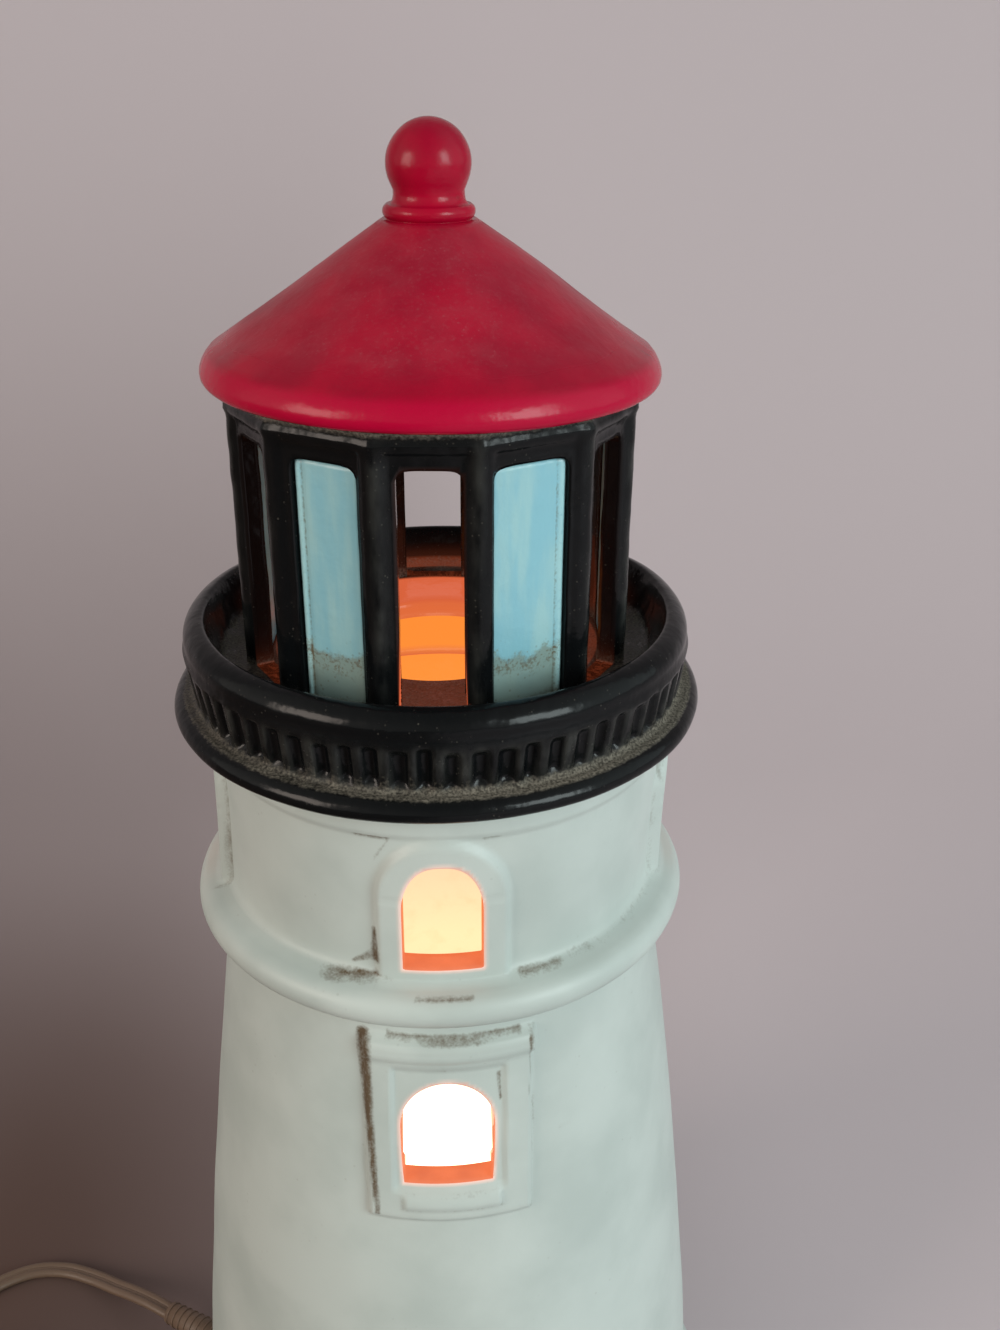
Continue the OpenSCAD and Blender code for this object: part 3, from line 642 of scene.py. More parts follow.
@dataclass(frozen=True)
class MetalFinish:
    """Plated or bare metal with faint rubbing marks and tarnish."""

    metal: Metal

    def make(self) -> bpy.types.Material:
        """Build the material.

        Returns:
            The material.
        """
        colour, roughness = self.metal.value
        g = Graph(f"{self.metal.name.lower()}_finish")
        tarnish = g.grain(7.0, 4.0).ease(0.45, 0.75)
        rub_and_sheen = g.grain(0.7, 3.0, (1.0, 1.0, 0.2))
        return g.finish(
            Base_Color=g.mix(tarnish * 0.5, colour, scaled(colour, 0.45)),
            Metallic=1.0,
            Roughness=(roughness + tarnish * 0.25 + rub_and_sheen * 0.12).clamp(),
            Normal=g.bump(rub_and_sheen, 0.03),
        )


@dataclass(frozen=True)
class Moulded:
    """Moulded plastic, vinyl or pressed board with a fine skin."""

    name: str
    colour: Rgb
    roughness: float = 0.45
    skin: float = 0.6
    depth: float = 0.05
    grime: float = 0.15

    def make(self) -> bpy.types.Material:
        """Build the material.

        Returns:
            The material.
        """
        g = Graph(f"{self.name}_finish")
        stain = g.grain(12.0, 4.0).ease(0.45, 0.8)
        return g.finish(
            Base_Color=g.mix(stain * self.grime, self.colour, scaled(self.colour, 0.6)),
            Roughness=(self.roughness + stain * 0.12).clamp(),
            Normal=g.bump(g.grain(self.skin, 3.0), self.depth),
        )


@dataclass(frozen=True)
class Felt:
    """Dark green felt of short matted hairs."""

    colour: Rgb = (0.018, 0.05, 0.032)

    def make(self) -> bpy.types.Material:
        """Build the material.

        Returns:
            The material.
        """
        g = Graph("felt_finish")
        hairs = g.grain(0.5, 6.0)
        return g.finish(
            Base_Color=g.mix(hairs.ease(0.4, 0.7), self.colour, scaled(self.colour, 2.4)),
            Roughness=0.95,
            Sheen_Weight=0.4,
            Normal=g.bump(hairs, 0.4),
        )


@dataclass(frozen=True)
class LitGlass:
    """Frosted glass of the bulb, white with light."""

    colour: Rgb = (1.0, 0.9, 0.68)
    strength: float = 2.2

    def make(self) -> bpy.types.Material:
        """Build the material.

        Returns:
            The material, a little warmer towards the neck.
        """
        g = Graph("lit_glass_finish")
        neck = g.axis("Z").ease(0.118, 0.094)
        return g.finish(
            Base_Color=(0.85, 0.83, 0.78),
            Roughness=0.35,
            Emission_Color=g.mix(neck, self.colour, (0.8, 0.5, 0.22)),
            Emission_Strength=self.strength,
            Normal=g.bump(g.grain(0.8, 3.0), 0.03),
        )


@dataclass(frozen=True)
class ClearGlass:
    """Clear or black glass of the bulb's small parts."""

    name: str
    colour: Rgb
    transmission: float

    def make(self) -> bpy.types.Material:
        """Build the material.

        Returns:
            The material.
        """
        g = Graph(f"{self.name}_finish")
        return g.finish(
            Base_Color=g.mix(g.grain(4.0, 2.0), self.colour, scaled(self.colour, 0.9)),
            Roughness=0.08,
            Transmission_Weight=self.transmission,
            Normal=g.bump(g.grain(2.0, 2.0), 0.02),
        )


@dataclass(frozen=True)
class HotWire:
    """Glowing tungsten."""

    def make(self) -> bpy.types.Material:
        """Build the material.

        Returns:
            The material, ribbed like a fine coil.
        """
        g = Graph("hot_wire_finish")
        ribs = g.add(
            "ShaderNodeTexWave",
            {"bands_direction": "X"},
            {"Vector": g.place(), "Scale": 500.0},
            output="Fac",
        )
        return g.finish(
            Base_Color=(0.5, 0.35, 0.2),
            Metallic=1.0,
            Roughness=0.4,
            Emission_Color=g.mix(ribs, (1.0, 0.5, 0.15), (1.0, 0.75, 0.4)),
            Emission_Strength=3.0,
        )


class Palette:
    """Makes each finish once and hands it out again."""

    def __init__(self) -> None:
        """Start with no materials."""
        self._made: dict[Finish, bpy.types.Material] = {}

    def get(self, finish: Finish) -> bpy.types.Material:
        """Material of a finish.

        Args:
            finish: one of the finish dataclasses.

        Returns:
            Its material, made at the first call.
        """
        if finish not in self._made:
            self._made[finish] = finish.make()
        return self._made[finish]


# Meshes


@dataclass
class Shell:
    """Points, faces and point attributes of a piece, in millimetres."""

    points: np.ndarray
    faces: list[Face]
    attributes: dict[str, np.ndarray] = field(default_factory=dict)
    slots: np.ndarray | None = None

    def tidy(self) -> Shell:
        """Drop points that no face uses and join those at the same place.

        Returns:
            The shell without loose or double points.
        """
        keys = np.round(self.points * 2000.0).astype(np.int64)
        _, first, twin = np.unique(keys, axis=0, return_index=True, return_inverse=True)
        twin = first[twin.ravel()]
        merged: list[Face] = []
        kept: list[int] = []
        for index, face in enumerate(self.faces):
            ring = [int(twin[i]) for i in face]
            ring = [p for p, q in zip(ring, [*ring[1:], ring[0]]) if p != q]
            if len(ring) > 2:
                merged.append(tuple(ring))
                kept.append(index)
        used = sorted({i for face in merged for i in face})
        place = {old: new for new, old in enumerate(used)}
        self.faces = [tuple(place[i] for i in face) for face in merged]
        self.points = self.points[used]
        self.attributes = {key: np.asarray(values)[used] for key, values in self.attributes.items()}
        if self.slots is not None:
            self.slots = self.slots[kept]
        return self

    def make(self, name: str, materials: Sequence[bpy.types.Material]) -> bpy.types.Object:
        """Turn the shell into a smooth Blender object at the origin.

        Args:
            name: the object's name.
            materials: its materials, in the order of slots.

        Returns:
            The object, linked to the scene.
        """
        mesh = bpy.data.meshes.new(name)
        mesh.from_pydata((self.points * MM).tolist(), [], self.faces)
        for key, values in self.attributes.items():
            layer = mesh.attributes.new(key, "FLOAT", "POINT")
            layer.data.foreach_set("value", np.asarray(values, dtype=np.float32))
        for material in materials:
            mesh.materials.append(material)
        if self.slots is not None:
            mesh.polygons.foreach_set("material_index", np.asarray(self.slots, dtype=np.int32))
        work = bmesh.new()
        work.from_mesh(mesh)
        bmesh.ops.recalc_face_normals(work, faces=work.faces)
        for face in work.faces:
            face.smooth = True
        work.to_mesh(mesh)
        work.free()
        piece = bpy.data.objects.new(name, mesh)
        bpy.context.scene.collection.objects.link(piece)
        return piece


def sweep_faces(rows: int, columns: int, closed: bool) -> list[Face]:
    """Quads of a grid that closes round its columns.

    Args:
        rows: points along the profile.
        columns: points round the axis.
        closed: whether the last row joins the first.

    Returns:
        The quads, by point index.
    """
    faces = []
    for i in range(rows if closed else rows - 1):
        upper = (i + 1) % rows
        for j in range(columns):
            k = (j + 1) % columns
            faces.append((i * columns + j, i * columns + k, upper * columns + k, upper * columns + j))
    return faces


def arc(centre: Place, radius: float, start: float, stop: float, steps: int) -> list[Place]:
    """Points on an arc in the profile plane, both ends included.

    Args:
        centre: middle of the arc.
        radius: its radius.
        start: first angle in degrees.
        stop: last angle in degrees.
        steps: number of stretches.

    Returns:
        The points.
    """
    turns = np.radians(np.linspace(start, stop, steps + 1))
    return [(centre[0] + radius * math.cos(t), centre[1] + radius * math.sin(t)) for t in turns]


def slab_faces(wide: int, tall: int) -> list[Face]:
    """Faces of a slab: a front grid, a back grid and the strip between them.

    Args:
        wide: cells across.
        tall: cells up.

    Returns:
        The faces, for the front grid's points followed by the back grid's.
    """
    row = wide + 1
    size = row * (tall + 1)
    faces: list[Face] = []
    for i in range(tall):
        for j in range(wide):
            a = i * row + j
            faces.append((a, a + 1, a + row + 1, a + row))
            faces.append((size + a, size + a + row, size + a + row + 1, size + a + 1))
    edge = [*range(wide), *(wide + i * row for i in range(tall))]
    edge += [*(tall * row + j for j in range(wide, 0, -1)), *(i * row for i in range(tall, 0, -1))]
    faces += [(a, size + a, size + b, b) for a, b in zip(edge, [*edge[1:], edge[0]])]
    return faces


# Ceramic pieces


@dataclass(frozen=True)
class Opening:
    """Window through a round wall, upright, at a bearing from the front towards +X."""

    bearing: float
    sill: float
    width: float
    height: float
    head: float
    shift: float = 0.0
    head_power: float = 2.0
    side_power: float = 2.0
    foot_pinch: float = 0.0

    def half_width(self, rise: np.ndarray) -> np.ndarray:
        """Half width of the outline at a height above the sill.

        Args:
            rise: heights above the sill, in millimetres.

        Returns:
            The half widths.
        """
        into_head = np.clip((rise - self.height + self.head) / self.head, 0.0, 1.0)
        taper = (1.0 - into_head**self.head_power) ** (1.0 / self.side_power)
        pinch = 1.0 - self.foot_pinch * np.clip(1.0 - rise / (0.5 * self.height), 0.0, 1.0) ** 2
        return 0.5 * self.width * taper * pinch

    def seen_across(self, x: np.ndarray, y: np.ndarray) -> np.ndarray:
        """Places across the side that the window is in.

        Args:
            x: x of each point.
            y: y of each point.

        Returns:
            The places, far away for points on the other side.
        """
        facing = math.radians(self.bearing)
        side = x * math.cos(facing) + y * math.sin(facing)
        depth = x * math.sin(facing) - y * math.cos(facing)
        return np.where(depth > 0, side, FAR)

    def outline(self) -> np.ndarray:
        """Closed outline of the window.

        Returns:
            Points across and up, from the lower left round the head.
        """
        rise = np.concatenate([
            np.linspace(0.0, self.height - self.head, 60),
            self.height - self.head + self.head * np.sin(np.linspace(0.0, math.pi / 2, 80))[1:],
        ])
        half = self.half_width(rise)
        left = np.stack([self.shift - half, rise], axis=1)
        right = np.stack([self.shift + half, rise], axis=1)[::-1]
        foot = np.linspace(right[-1], left[0], 40)[1:-1]
        return np.vstack([left, right[1:], foot])

    def inside(self, across: np.ndarray, z: np.ndarray) -> np.ndarray:
        """Whether points lie in the opening."""
        rise = z - self.sill
        within = (rise > 0.0) & (rise < self.height)
        return within & (np.abs(across - self.shift) < self.half_width(rise))

    def nearest(self, across: np.ndarray, z: np.ndarray) -> tuple[np.ndarray, np.ndarray]:
        """Closest points of the outline.

        Args:
            across: places across the opening.
            z: heights above the table.

        Returns:
            The closest places across and their heights above the table.
        """
        ring = self.outline()
        gap = (across[:, None] - ring[None, :, 0]) ** 2 + (z[:, None] - self.sill - ring[None, :, 1]) ** 2
        found = ring[np.argmin(gap, axis=1)]
        return found[:, 0], found[:, 1] + self.sill

    def distance(self, across: np.ndarray, z: np.ndarray) -> np.ndarray:
        """Distance to the outline.

        Args:
            across: places across the opening.
            z: heights above the table.

        Returns:
            The distances, negative inside and 99 far away.
        """
        result = np.full(across.shape, 99.0)
        reach = self.width + 6.0
        middle = self.sill + 0.5 * self.height
        close = (np.abs(across - self.shift) < reach) & (np.abs(z - middle) < 0.5 * self.height + 8.0)
        near_u, near_z = self.nearest(across[close], z[close])
        gap = np.hypot(across[close] - near_u, z[close] - near_z)
        result[close] = np.where(self.inside(across[close], z[close]), -gap, gap)
        return result


class Row(IntEnum):
    """Part of a casting that a row of its grid belongs to."""

    OTHER = 0
    OUTER = 1
    INNER = 2


@dataclass
class Casting:
    """Round wall with openings, made as one closed grid of rows and columns.

    The profile runs up the outside, over the top, down the inside and back to its start. A row is
    part of the outer wall, part of the inner wall or neither. Where an opening is, the inner wall
    has a row at each height of the outer wall, so that the two rims can be joined by a reveal.
    """

    columns: np.ndarray
    radius: np.ndarray
    height: np.ndarray
    side: np.ndarray
    openings: Sequence[Opening]
    outer: Callable[[np.ndarray, np.ndarray], np.ndarray]
    inner: Callable[[np.ndarray, np.ndarray], np.ndarray]
    reveal_steps: int = 3

    def partners(self) -> dict[int, int]:
        """Inner row at the same height as each outer row that has one."""
        inner = {round(float(self.height[i]), 4): i for i in np.flatnonzero(self.side == Row.INNER)}
        outer = np.flatnonzero(self.side == Row.OUTER)
        return {int(i): inner[k] for i in outer if (k := round(float(self.height[i]), 4)) in inner}

    def surface(self, bearing: np.ndarray, z: np.ndarray) -> np.ndarray:
        """Radius of every grid point.

        Args:
            bearing: bearing of each one, in radians.
            z: its height.

        Returns:
            The radius.
        """
        r = np.repeat(self.radius[:, None], bearing.shape[1], axis=1)
        for side, form in ((Row.OUTER, self.outer), (Row.INNER, self.inner)):
            rows = self.side == side
            r[rows] = form(bearing[rows], z[rows])
        return r

    def cut(self, opening: Opening, is_open: np.ndarray, pair: dict[int, int]) -> set[tuple[int, int]]:
        """Open the cells of one opening in both walls.

        Args:
            opening: the window.
            is_open: flag of each cell, changed in place.
            pair: inner row of each outer row.

        Returns:
            Grid points on the rim of the opening in the outer wall.
        """
        count = len(self.columns)
        after = np.roll(self.columns, -1)
        after[-1] += 2 * math.pi
        middle = 0.5 * (self.columns + after)
        turned = turn_from(middle, math.radians(opening.bearing))
        own: list[tuple[int, int]] = []
        for i in sorted(pair):
            if i + 1 not in pair:
                continue
            z = np.full(count, 0.5 * (self.height[i] + self.height[i + 1]))
            across = self.outer(middle, z) * np.sin(turned)
            hit = opening.inside(across, z) & (np.abs(turned) < 1.0)
            is_open[i, hit] = True
            is_open[pair[i + 1], hit] = True
            own += [(i, int(j)) for j in np.flatnonzero(hit)]
        rim: set[tuple[int, int]] = set()
        for i, j in own:
            k = (j + 1) % count
            rim |= {(i, j), (i, k), (i + 1, j), (i + 1, k)}
        return {
            (i, j)
            for i, j in rim
            if not (is_open[i, j] and is_open[i - 1, j] and is_open[i, j - 1] and is_open[i - 1, j - 1])
        }

    def build(self) -> Shell:
        """Make the closed mesh.

        Returns:
            The shell, with the attribute reveal, and slot 1 for inner faces.
        """
        rows, count = len(self.height), len(self.columns)
        bearing = np.repeat(self.columns[None, :], rows, axis=0)
        z = np.repeat(self.height[:, None], count, axis=1).astype(float)
        is_open = np.zeros((rows, count), dtype=bool)
        pair = self.partners()
        rims = {}
        for opening in self.openings:
            rim = self.cut(opening, is_open, pair)
            rims.update(dict.fromkeys(rim))
            self.snap(opening, sorted(rim), bearing, z, pair)
        points = spun(self.surface(bearing, z), bearing, z)
        bridge, added = self.bridges(points, sorted(rims), pair)
        faces, slots = self.cell_faces(is_open, rows, count)
        strips = self.reveal_faces(is_open, pair, bridge, count)
        reveal = np.zeros(len(points))
        reveal[[end for chain in bridge.values() for end in (chain[0], chain[-1])]] = 1.0
        shown = {"reveal": np.concatenate([reveal, np.ones(len(added))])}
        points = np.vstack([points, added]) if added else points
        return Shell(points, faces + strips, shown, np.array(slots + [1] * len(strips))).tidy()

    def bridges(
        self, points: np.ndarray, rims: list[tuple[int, int]], pair: dict[int, int]
    ) -> tuple[dict[int, list[int]], list[np.ndarray]]:
        """Points across the reveals, between the rim in the outer wall and the one in the inner wall.

        Args:
            points: the grid's points.
            rims: grid points on the rims in the outer wall, sorted.
            pair: inner row of each outer row.

        Returns:
            Point indexes from the outer to the inner rim, by outer point, and the added points.
        """
        count = len(self.columns)
        parts = [s / (self.reveal_steps + 1) for s in range(1, self.reveal_steps + 1)]
        bridge: dict[int, list[int]] = {}
        added: list[np.ndarray] = []
        for i, j in rims:
            near, far = i * count + j, pair[i] * count + j
            first = len(points) + len(added)
            added += [points[near] + (points[far] - points[near]) * part for part in parts]
            bridge[near] = [near, *range(first, first + len(parts)), far]
        return bridge, added

    def snap(
        self,
        opening: Opening,
        rim: list[tuple[int, int]],
        bearing: np.ndarray,
        z: np.ndarray,
        pair: dict[int, int],
    ) -> None:
        """Move rim points onto the outline of their opening, in both walls.

        Args:
            opening: the window.
            rim: grid points on its rim in the outer wall.
            bearing: bearings of the grid, changed in place.
            z: heights of the grid, changed in place.
            pair: inner row of each outer row.
        """
        if not rim:
            return
        i, j = (np.array(part) for part in zip(*rim))
        facing = math.radians(opening.bearing)
        r = self.outer(bearing[i, j], z[i, j])
        across, up = opening.nearest(r * np.sin(bearing[i, j] - facing), z[i, j])
        twins = np.array([pair[int(k)] for k in i])
        for rows, form in ((i, self.outer), (twins, self.inner)):
            turn = bearing[i, j].copy()
            for _ in range(4):
                size = form(turn, up)
                turn = facing + np.arcsin(np.clip(across / size, -1.0, 1.0))
            start = self.columns[j]
            turn += 2 * math.pi * np.round((start - turn) / (2 * math.pi))
            bearing[rows, j] = turn
            z[rows, j] = up

    def cell_faces(self, is_open: np.ndarray, rows: int, count: int) -> tuple[list[Face], list[int]]:
        """Quads of the closed cells and their slots.

        Args:
            is_open: flag of each cell.
            rows: number of rows.
            count: number of columns.

        Returns:
            The faces and one slot for each.
        """
        faces: list[Face] = []
        slots: list[int] = []
        for index, face in enumerate(sweep_faces(rows, count, True)):
            i = index // count
            if is_open[i, index % count]:
                continue
            faces.append(face)
            inside = self.side[i] == Row.INNER or self.side[(i + 1) % rows] == Row.INNER
            slots.append(int(inside))
        return faces, slots

    def reveal_faces(
        self,
        is_open: np.ndarray,
        pair: dict[int, int],
        bridge: dict[int, list[int]],
        count: int,
    ) -> list[Face]:
        """Quads that join the outer rims to the inner rims.

        Args:
            is_open: flag of each cell.
            pair: inner row of each outer row.
            bridge: points from the outer to the inner rim, by outer point.
            count: number of columns.

        Returns:
            The faces.
        """
        faces: list[Face] = []
        for i in pair:
            for j in np.flatnonzero(is_open[i]):
                j = int(j)
                k = (j + 1) % count
                low, high = i * count, (i + 1) * count
                sides = (
                    (is_open[i - 1, j], low + j, low + k),
                    (is_open[i + 1, j], high + k, high + j),
                    (is_open[i, j - 1], high + j, low + j),
                    (is_open[i, k], low + k, high + k),
                )
                for neighbour_open, a, b in sides:
                    if neighbour_open:
                        continue
                    for s in range(self.reveal_steps + 1):
                        faces.append((bridge[a][s], bridge[b][s], bridge[b][s + 1], bridge[a][s + 1]))
        return faces


def box_distance(
    across: np.ndarray, z: np.ndarray, left: float, right: float, low: float, high: float
) -> np.ndarray:
    """Distance to an upright box outline, negative inside.

    Args:
        across: places across.
        z: heights.
        left: left edge.
        right: right edge.
        low: lower edge.
        high: upper edge.

    Returns:
        The distances.
    """
    x = np.abs(across - 0.5 * (left + right)) - 0.5 * (right - left)
    y = np.abs(z - 0.5 * (low + high)) - 0.5 * (high - low)
    return np.hypot(np.maximum(x, 0.0), np.maximum(y, 0.0)) + np.minimum(np.maximum(x, y), 0.0)


def arch_distance(across: np.ndarray, z: np.ndarray, half: float, low: float, high: float) -> np.ndarray:
    """Distance to an arch with a round head, negative inside.

    Args:
        across: places across.
        z: heights.
        half: half its width.
        low: its foot.
        high: top of its head.

    Returns:
        The distances.
    """
    spring = high - half
    straight = box_distance(across, z, -half, half, low, spring)
    round_part = np.hypot(across, z - spring) - half
    return np.where(z > spring, round_part, straight)


def line_distance(
    across: np.ndarray, z: np.ndarray, start: Place, stop: Place
) -> tuple[np.ndarray, np.ndarray]:
    """Distance to a straight stroke and the part of it that is passed.

    Args:
        across: places across.
        z: heights.
        start: first end, across and up.
        stop: last end, across and up.

    Returns:
        The distances, and 0 at start to 1 at stop.
    """
    dx, dz = stop[0] - start[0], stop[1] - start[1]
    along = np.clip(((across - start[0]) * dx + (z - start[1]) * dz) / (dx * dx + dz * dz), 0.0, 1.0)
    return np.hypot(across - start[0] - along * dx, z - start[1] - along * dz), along


@dataclass(frozen=True)
class Stroke:
    """Dark line on the front of the tower, from one place to another: dirt, and painted shade along the
    reliefs' left edges.
    """

    start: Place
    stop: Place
    width: float
    end_width: float
    strength: float

    def mark(self, across: np.ndarray, z: np.ndarray) -> np.ndarray:
        """Dirt and painted shade that the stroke leaves at each point."""
        gap, along = line_distance(across, z, self.start, self.stop)
        half = 0.5 * (self.width + (self.end_width - self.width) * along)
        return self.strength * (1.0 - smooth(0.35, 1.6, gap / half))


@dataclass
class Tower:
    """White tower: plinth, tapering body, ring moulding, neck, windows and door."""

    palette: Palette
    foot_z: float = 2.0
    plinth_r: float = 78.0
    plinth_wall: float = 7.0
    plinth_z: float = 20.0
    floor_z: float = 26.0
    floor_top: float = 30.0
    floor_hole_r: float = 42.0
    ring_z: float = 212.5
    ring_mid_r: float = 52.8
    ring_bead_r: float = 4.25
    body_top_r: float = 49.6
    body_taper: float = 0.152
    body_bulge: float = 0.000207
    wall: float = 4.5
    neck_r: float = 49.4
    neck_inner_r: float = 45.3
    top_z: float = 258.0
    band_z: float = 251.3
    band_w: float = 0.9
    relief: float = 1.4
    side_relief: float = 2.4
    neck_lean: float = 0.9
    front_step: float = 0.6
    side_step: float = 1.1
    back_step: float = 3.0
    front_reach: float = 27.0
    side_reach: float = 17.0
    # Reliefs on the front, and the surround of each upper window
    frame_box: Box = (-17.0, 18.2, 157.4, 202.2)
    lintel_box: Box = (-16.8, 18.8, 197.6, 202.6)
    sill_box: Box = (-9.6, 11.6, 160.6, 164.2)
    sill_top_box: Box = (-9.4, 11.4, 160.6, 164.2)
    sunk_box: Box = (-11.2, 12.4, 165.4, 195.6)
    door_frame: Arch = (19.0, 28.0, 100.0)
    door: Arch = (13.5, 30.0, 92.0)
    planks: tuple[float, ...] = (-9.75, -3.25, 3.25, 9.75)
    plank_top: float = 84.0
    knob: Place = (9.0, 56.0)
    knob_r: float = 1.9
    surround: Arch = (13.3, 210.0, 250.6)
    # Low end, high end and distance between rows
    stretches: tuple[Point, ...] = (
        (28.0, 99.0, 1.35),
        (99.0, 155.0, 2.8),
        (155.0, 205.0, 0.9),
        (205.0, 221.0, 0.62),
        (221.0, 258.0, 0.9),
    )
    window_rows: tuple[Place, ...] = ((165.0, 194.0), (218.0, 247.5))
    upper: tuple[Opening, ...] = tuple(
        Opening(bearing, 220.2, 16.6, 25.0, 10.6, head_power=1.8, side_power=2.6)
        for bearing in (-90.0, 0.0, 90.0)
    )
    lower: Opening = Opening(0.0, 166.8, 20.4, 25.2, 11.0, shift=0.3, foot_pinch=0.05)
    # Dark lines on the front: dirt, and down the left edges of the front frame and the upper window's
    # surround, painted shade
    strokes: tuple[Stroke, ...] = (
        Stroke((-17.2, 202.4), (-16.6, 182.0), 3.0, 2.0, 1.0),
        Stroke((-16.6, 182.0), (-15.4, 158.5), 2.0, 1.2, 0.95),
        Stroke((-12.2, 203.6), (0.8, 202.6), 1.0, 1.7, 0.75),
        Stroke((0.8, 202.6), (15.8, 203.2), 1.7, 0.9, 0.7),
        Stroke((18.4, 201.8), (18.2, 198.4), 1.2, 0.7, 0.9),
        Stroke((18.2, 198.4), (18.0, 187.0), 0.6, 0.4, 0.45),
        Stroke((11.3, 193.4), (11.6, 187.2), 0.9, 0.6, 0.75),
        Stroke((-7.0, 195.6), (0.0, 195.6), 0.5, 0.9, 0.6),
        Stroke((0.0, 195.6), (11.0, 195.9), 0.7, 0.3, 0.45),
        Stroke((-8.6, 160.8), (12.4, 160.4), 0.8, 1.0, 0.3),
        Stroke((-10.2, 164.2), (9.4, 163.9), 0.5, 0.4, 0.25),
        Stroke((-13.9, 229.0), (-14.0, 221.5), 0.8, 2.2, 0.85),
        Stroke((-15.0, 221.8), (-18.8, 219.6), 2.2, 0.7, 0.7),
        Stroke((-13.6, 218.0), (-24.0, 216.9), 1.2, 0.8, 0.9),
        Stroke((-6.0, 216.2), (6.0, 216.0), 0.6, 0.6, 0.7),
        Stroke((16.0, 217.6), (24.0, 217.2), 1.4, 0.6, 0.7),
        Stroke((-21.0, 251.4), (-10.6, 250.8), 0.5, 0.9, 0.7),
        Stroke((8.0, 251.0), (13.6, 251.3), 0.5, 0.6, 0.55),
        Stroke((-13.2, 246.0), (-10.6, 250.2), 1.0, 0.7, 0.4),
        Stroke((24.8, 174.6), (28.6, 174.0), 0.5, 0.3, 0.4),
        Stroke((26.2, 187.4), (27.6, 186.4), 0.5, 0.3, 0.4),
    )

    def body_r(self, z: np.ndarray) -> np.ndarray:
        """Radius of the body's outside at a height."""
        down = self.ring_z - z
        return self.body_top_r + self.body_taper * down - self.body_bulge * down * down

    def plain_outer(self, z: np.ndarray) -> np.ndarray:
        """Radius of the outside without reliefs.

        Args:
            z: heights.

        Returns:
            The radius, with the ring moulding, its coves and the band under the top.
        """
        below = self.body_r(np.minimum(z, self.ring_z))
        cove = 3.4 * (1.0 - smooth(self.ring_z + 1.0, self.ring_z + 9.0, z)) ** 2
        above = self.neck_r + cove + self.band_w * smooth(self.band_z - 0.5, self.band_z + 0.5, z)
        base = np.where(z < self.ring_z, below, above)
        bead = self.ring_mid_r + np.sqrt(np.maximum(0.0, self.ring_bead_r**2 - (z - self.ring_z) ** 2))
        on_ring = np.abs(z - self.ring_z) < self.ring_bead_r
        bulge = np.where(on_ring, bead, 0.0)
        fillet = 0.7 * bell(np.abs(z - self.ring_z) - self.ring_bead_r, 0.9)
        lip = 1.2 * (1.0 - np.sqrt(1.0 - np.clip((z - self.top_z + 1.2) / 1.2, 0.0, 0.999) ** 2))
        return np.maximum(base + np.where(on_ring, 0.0, fillet), bulge) - lip

    def pads(self, across: np.ndarray, z: np.ndarray) -> list[tuple[np.ndarray, float, float]]:
        """Raised shapes on the front.

        Args:
            across: places across the front.
            z: heights.

        Returns:
            Distance to each outline, its rise and the softness of its edge.
        """
        return [
            (box_distance(across, z, *self.frame_box), self.relief, 0.6),
            (box_distance(across, z, *self.lintel_box), self.relief + 1.0, 0.7),
            (box_distance(across, z, *self.sill_box), self.relief + 0.7, 0.5),
            (arch_distance(across, z, *self.door_frame), self.relief + 0.6, 0.7),
        ]

    def outer(self, bearing: np.ndarray, z: np.ndarray) -> np.ndarray:
        """Radius of the outside with its reliefs.

        Args:
            bearing: bearings from the front, in radians.
            z: heights.

        Returns:
            The radius.
        """
        plain = self.plain_outer(z)
        across = face_across(bearing, plain)
        rise = np.zeros_like(plain)
        for gap, height, soft in self.pads(across, z):
            rise = np.maximum(rise, height * smooth(soft, -soft, gap))
        sunk = smooth(0.35, -0.35, box_distance(across, z, *self.sunk_box))
        rise = rise * (1.0 - sunk) + 0.45 * sunk
        sill = smooth(0.5, -0.5, box_distance(across, z, *self.sill_top_box))
        rise = np.maximum(rise, (self.relief + 0.7) * sill)
        door = smooth(0.4, -0.4, arch_distance(across, z, *self.door))
        rise = rise * (1.0 - door) + 0.3 * door
        for plank in self.planks:
            groove = bell(across - plank, 0.45) * smooth(0.3, -0.3, z - self.plank_top)
            rise = rise - 0.7 * groove * door
        knob = np.hypot(across - self.knob[0], z - self.knob[1])
        rise = rise + self.knob_r * np.sqrt(np.maximum(0.0, 1.0 - (knob / self.knob_r) ** 2))
        for opening in self.upper:
            side = face_across(bearing - math.radians(opening.bearing), plain)
            gap = arch_distance(side, z, *self.surround)
            stand = self.relief if opening.bearing == 0.0 else self.side_relief
            pad = np.maximum(0.0, self.neck_r + stand - plain) * smooth(0.9, -0.9, gap)
            rise = np.maximum(rise, pad)
        lean = self.neck_lean * np.sin(bearing) * smooth(self.ring_z + 4.0, self.top_z, z)
        return plain + rise + lean

    def inner(self, bearing: np.ndarray, z: np.ndarray) -> np.ndarray:
        """Radius of the inside.

        Args:
            bearing: bearings from the front, which it doesn't depend on.
            z: heights.

        Returns:
            The radius.
        """
        shoulder = self.ring_z - 6.0
        low = self.body_r(np.minimum(z, shoulder)) - self.wall
        start = float(self.body_r(np.array(shoulder))) - self.wall
        above = start + (self.neck_inner_r - start) * np.clip((z - shoulder) / 10.0, 0.0, 1.0)
        return np.where(z < shoulder, low, above) + 0.0 * bearing

    def column_bearings(self) -> np.ndarray:
        """Bearings of the columns, close together where windows and door are.

        Returns:
            The bearings, in radians.
        """
        bearings: list[float] = []
        angle = -180.0
        while angle < 180.0 - 1e-6:
            bearings.append(angle)
            if abs(angle) < self.front_reach:
                angle += self.front_step
            elif abs(abs(angle) - 90.0) < self.side_reach:
                angle += self.side_step
            else:
                angle += self.back_step
        return np.radians(bearings)

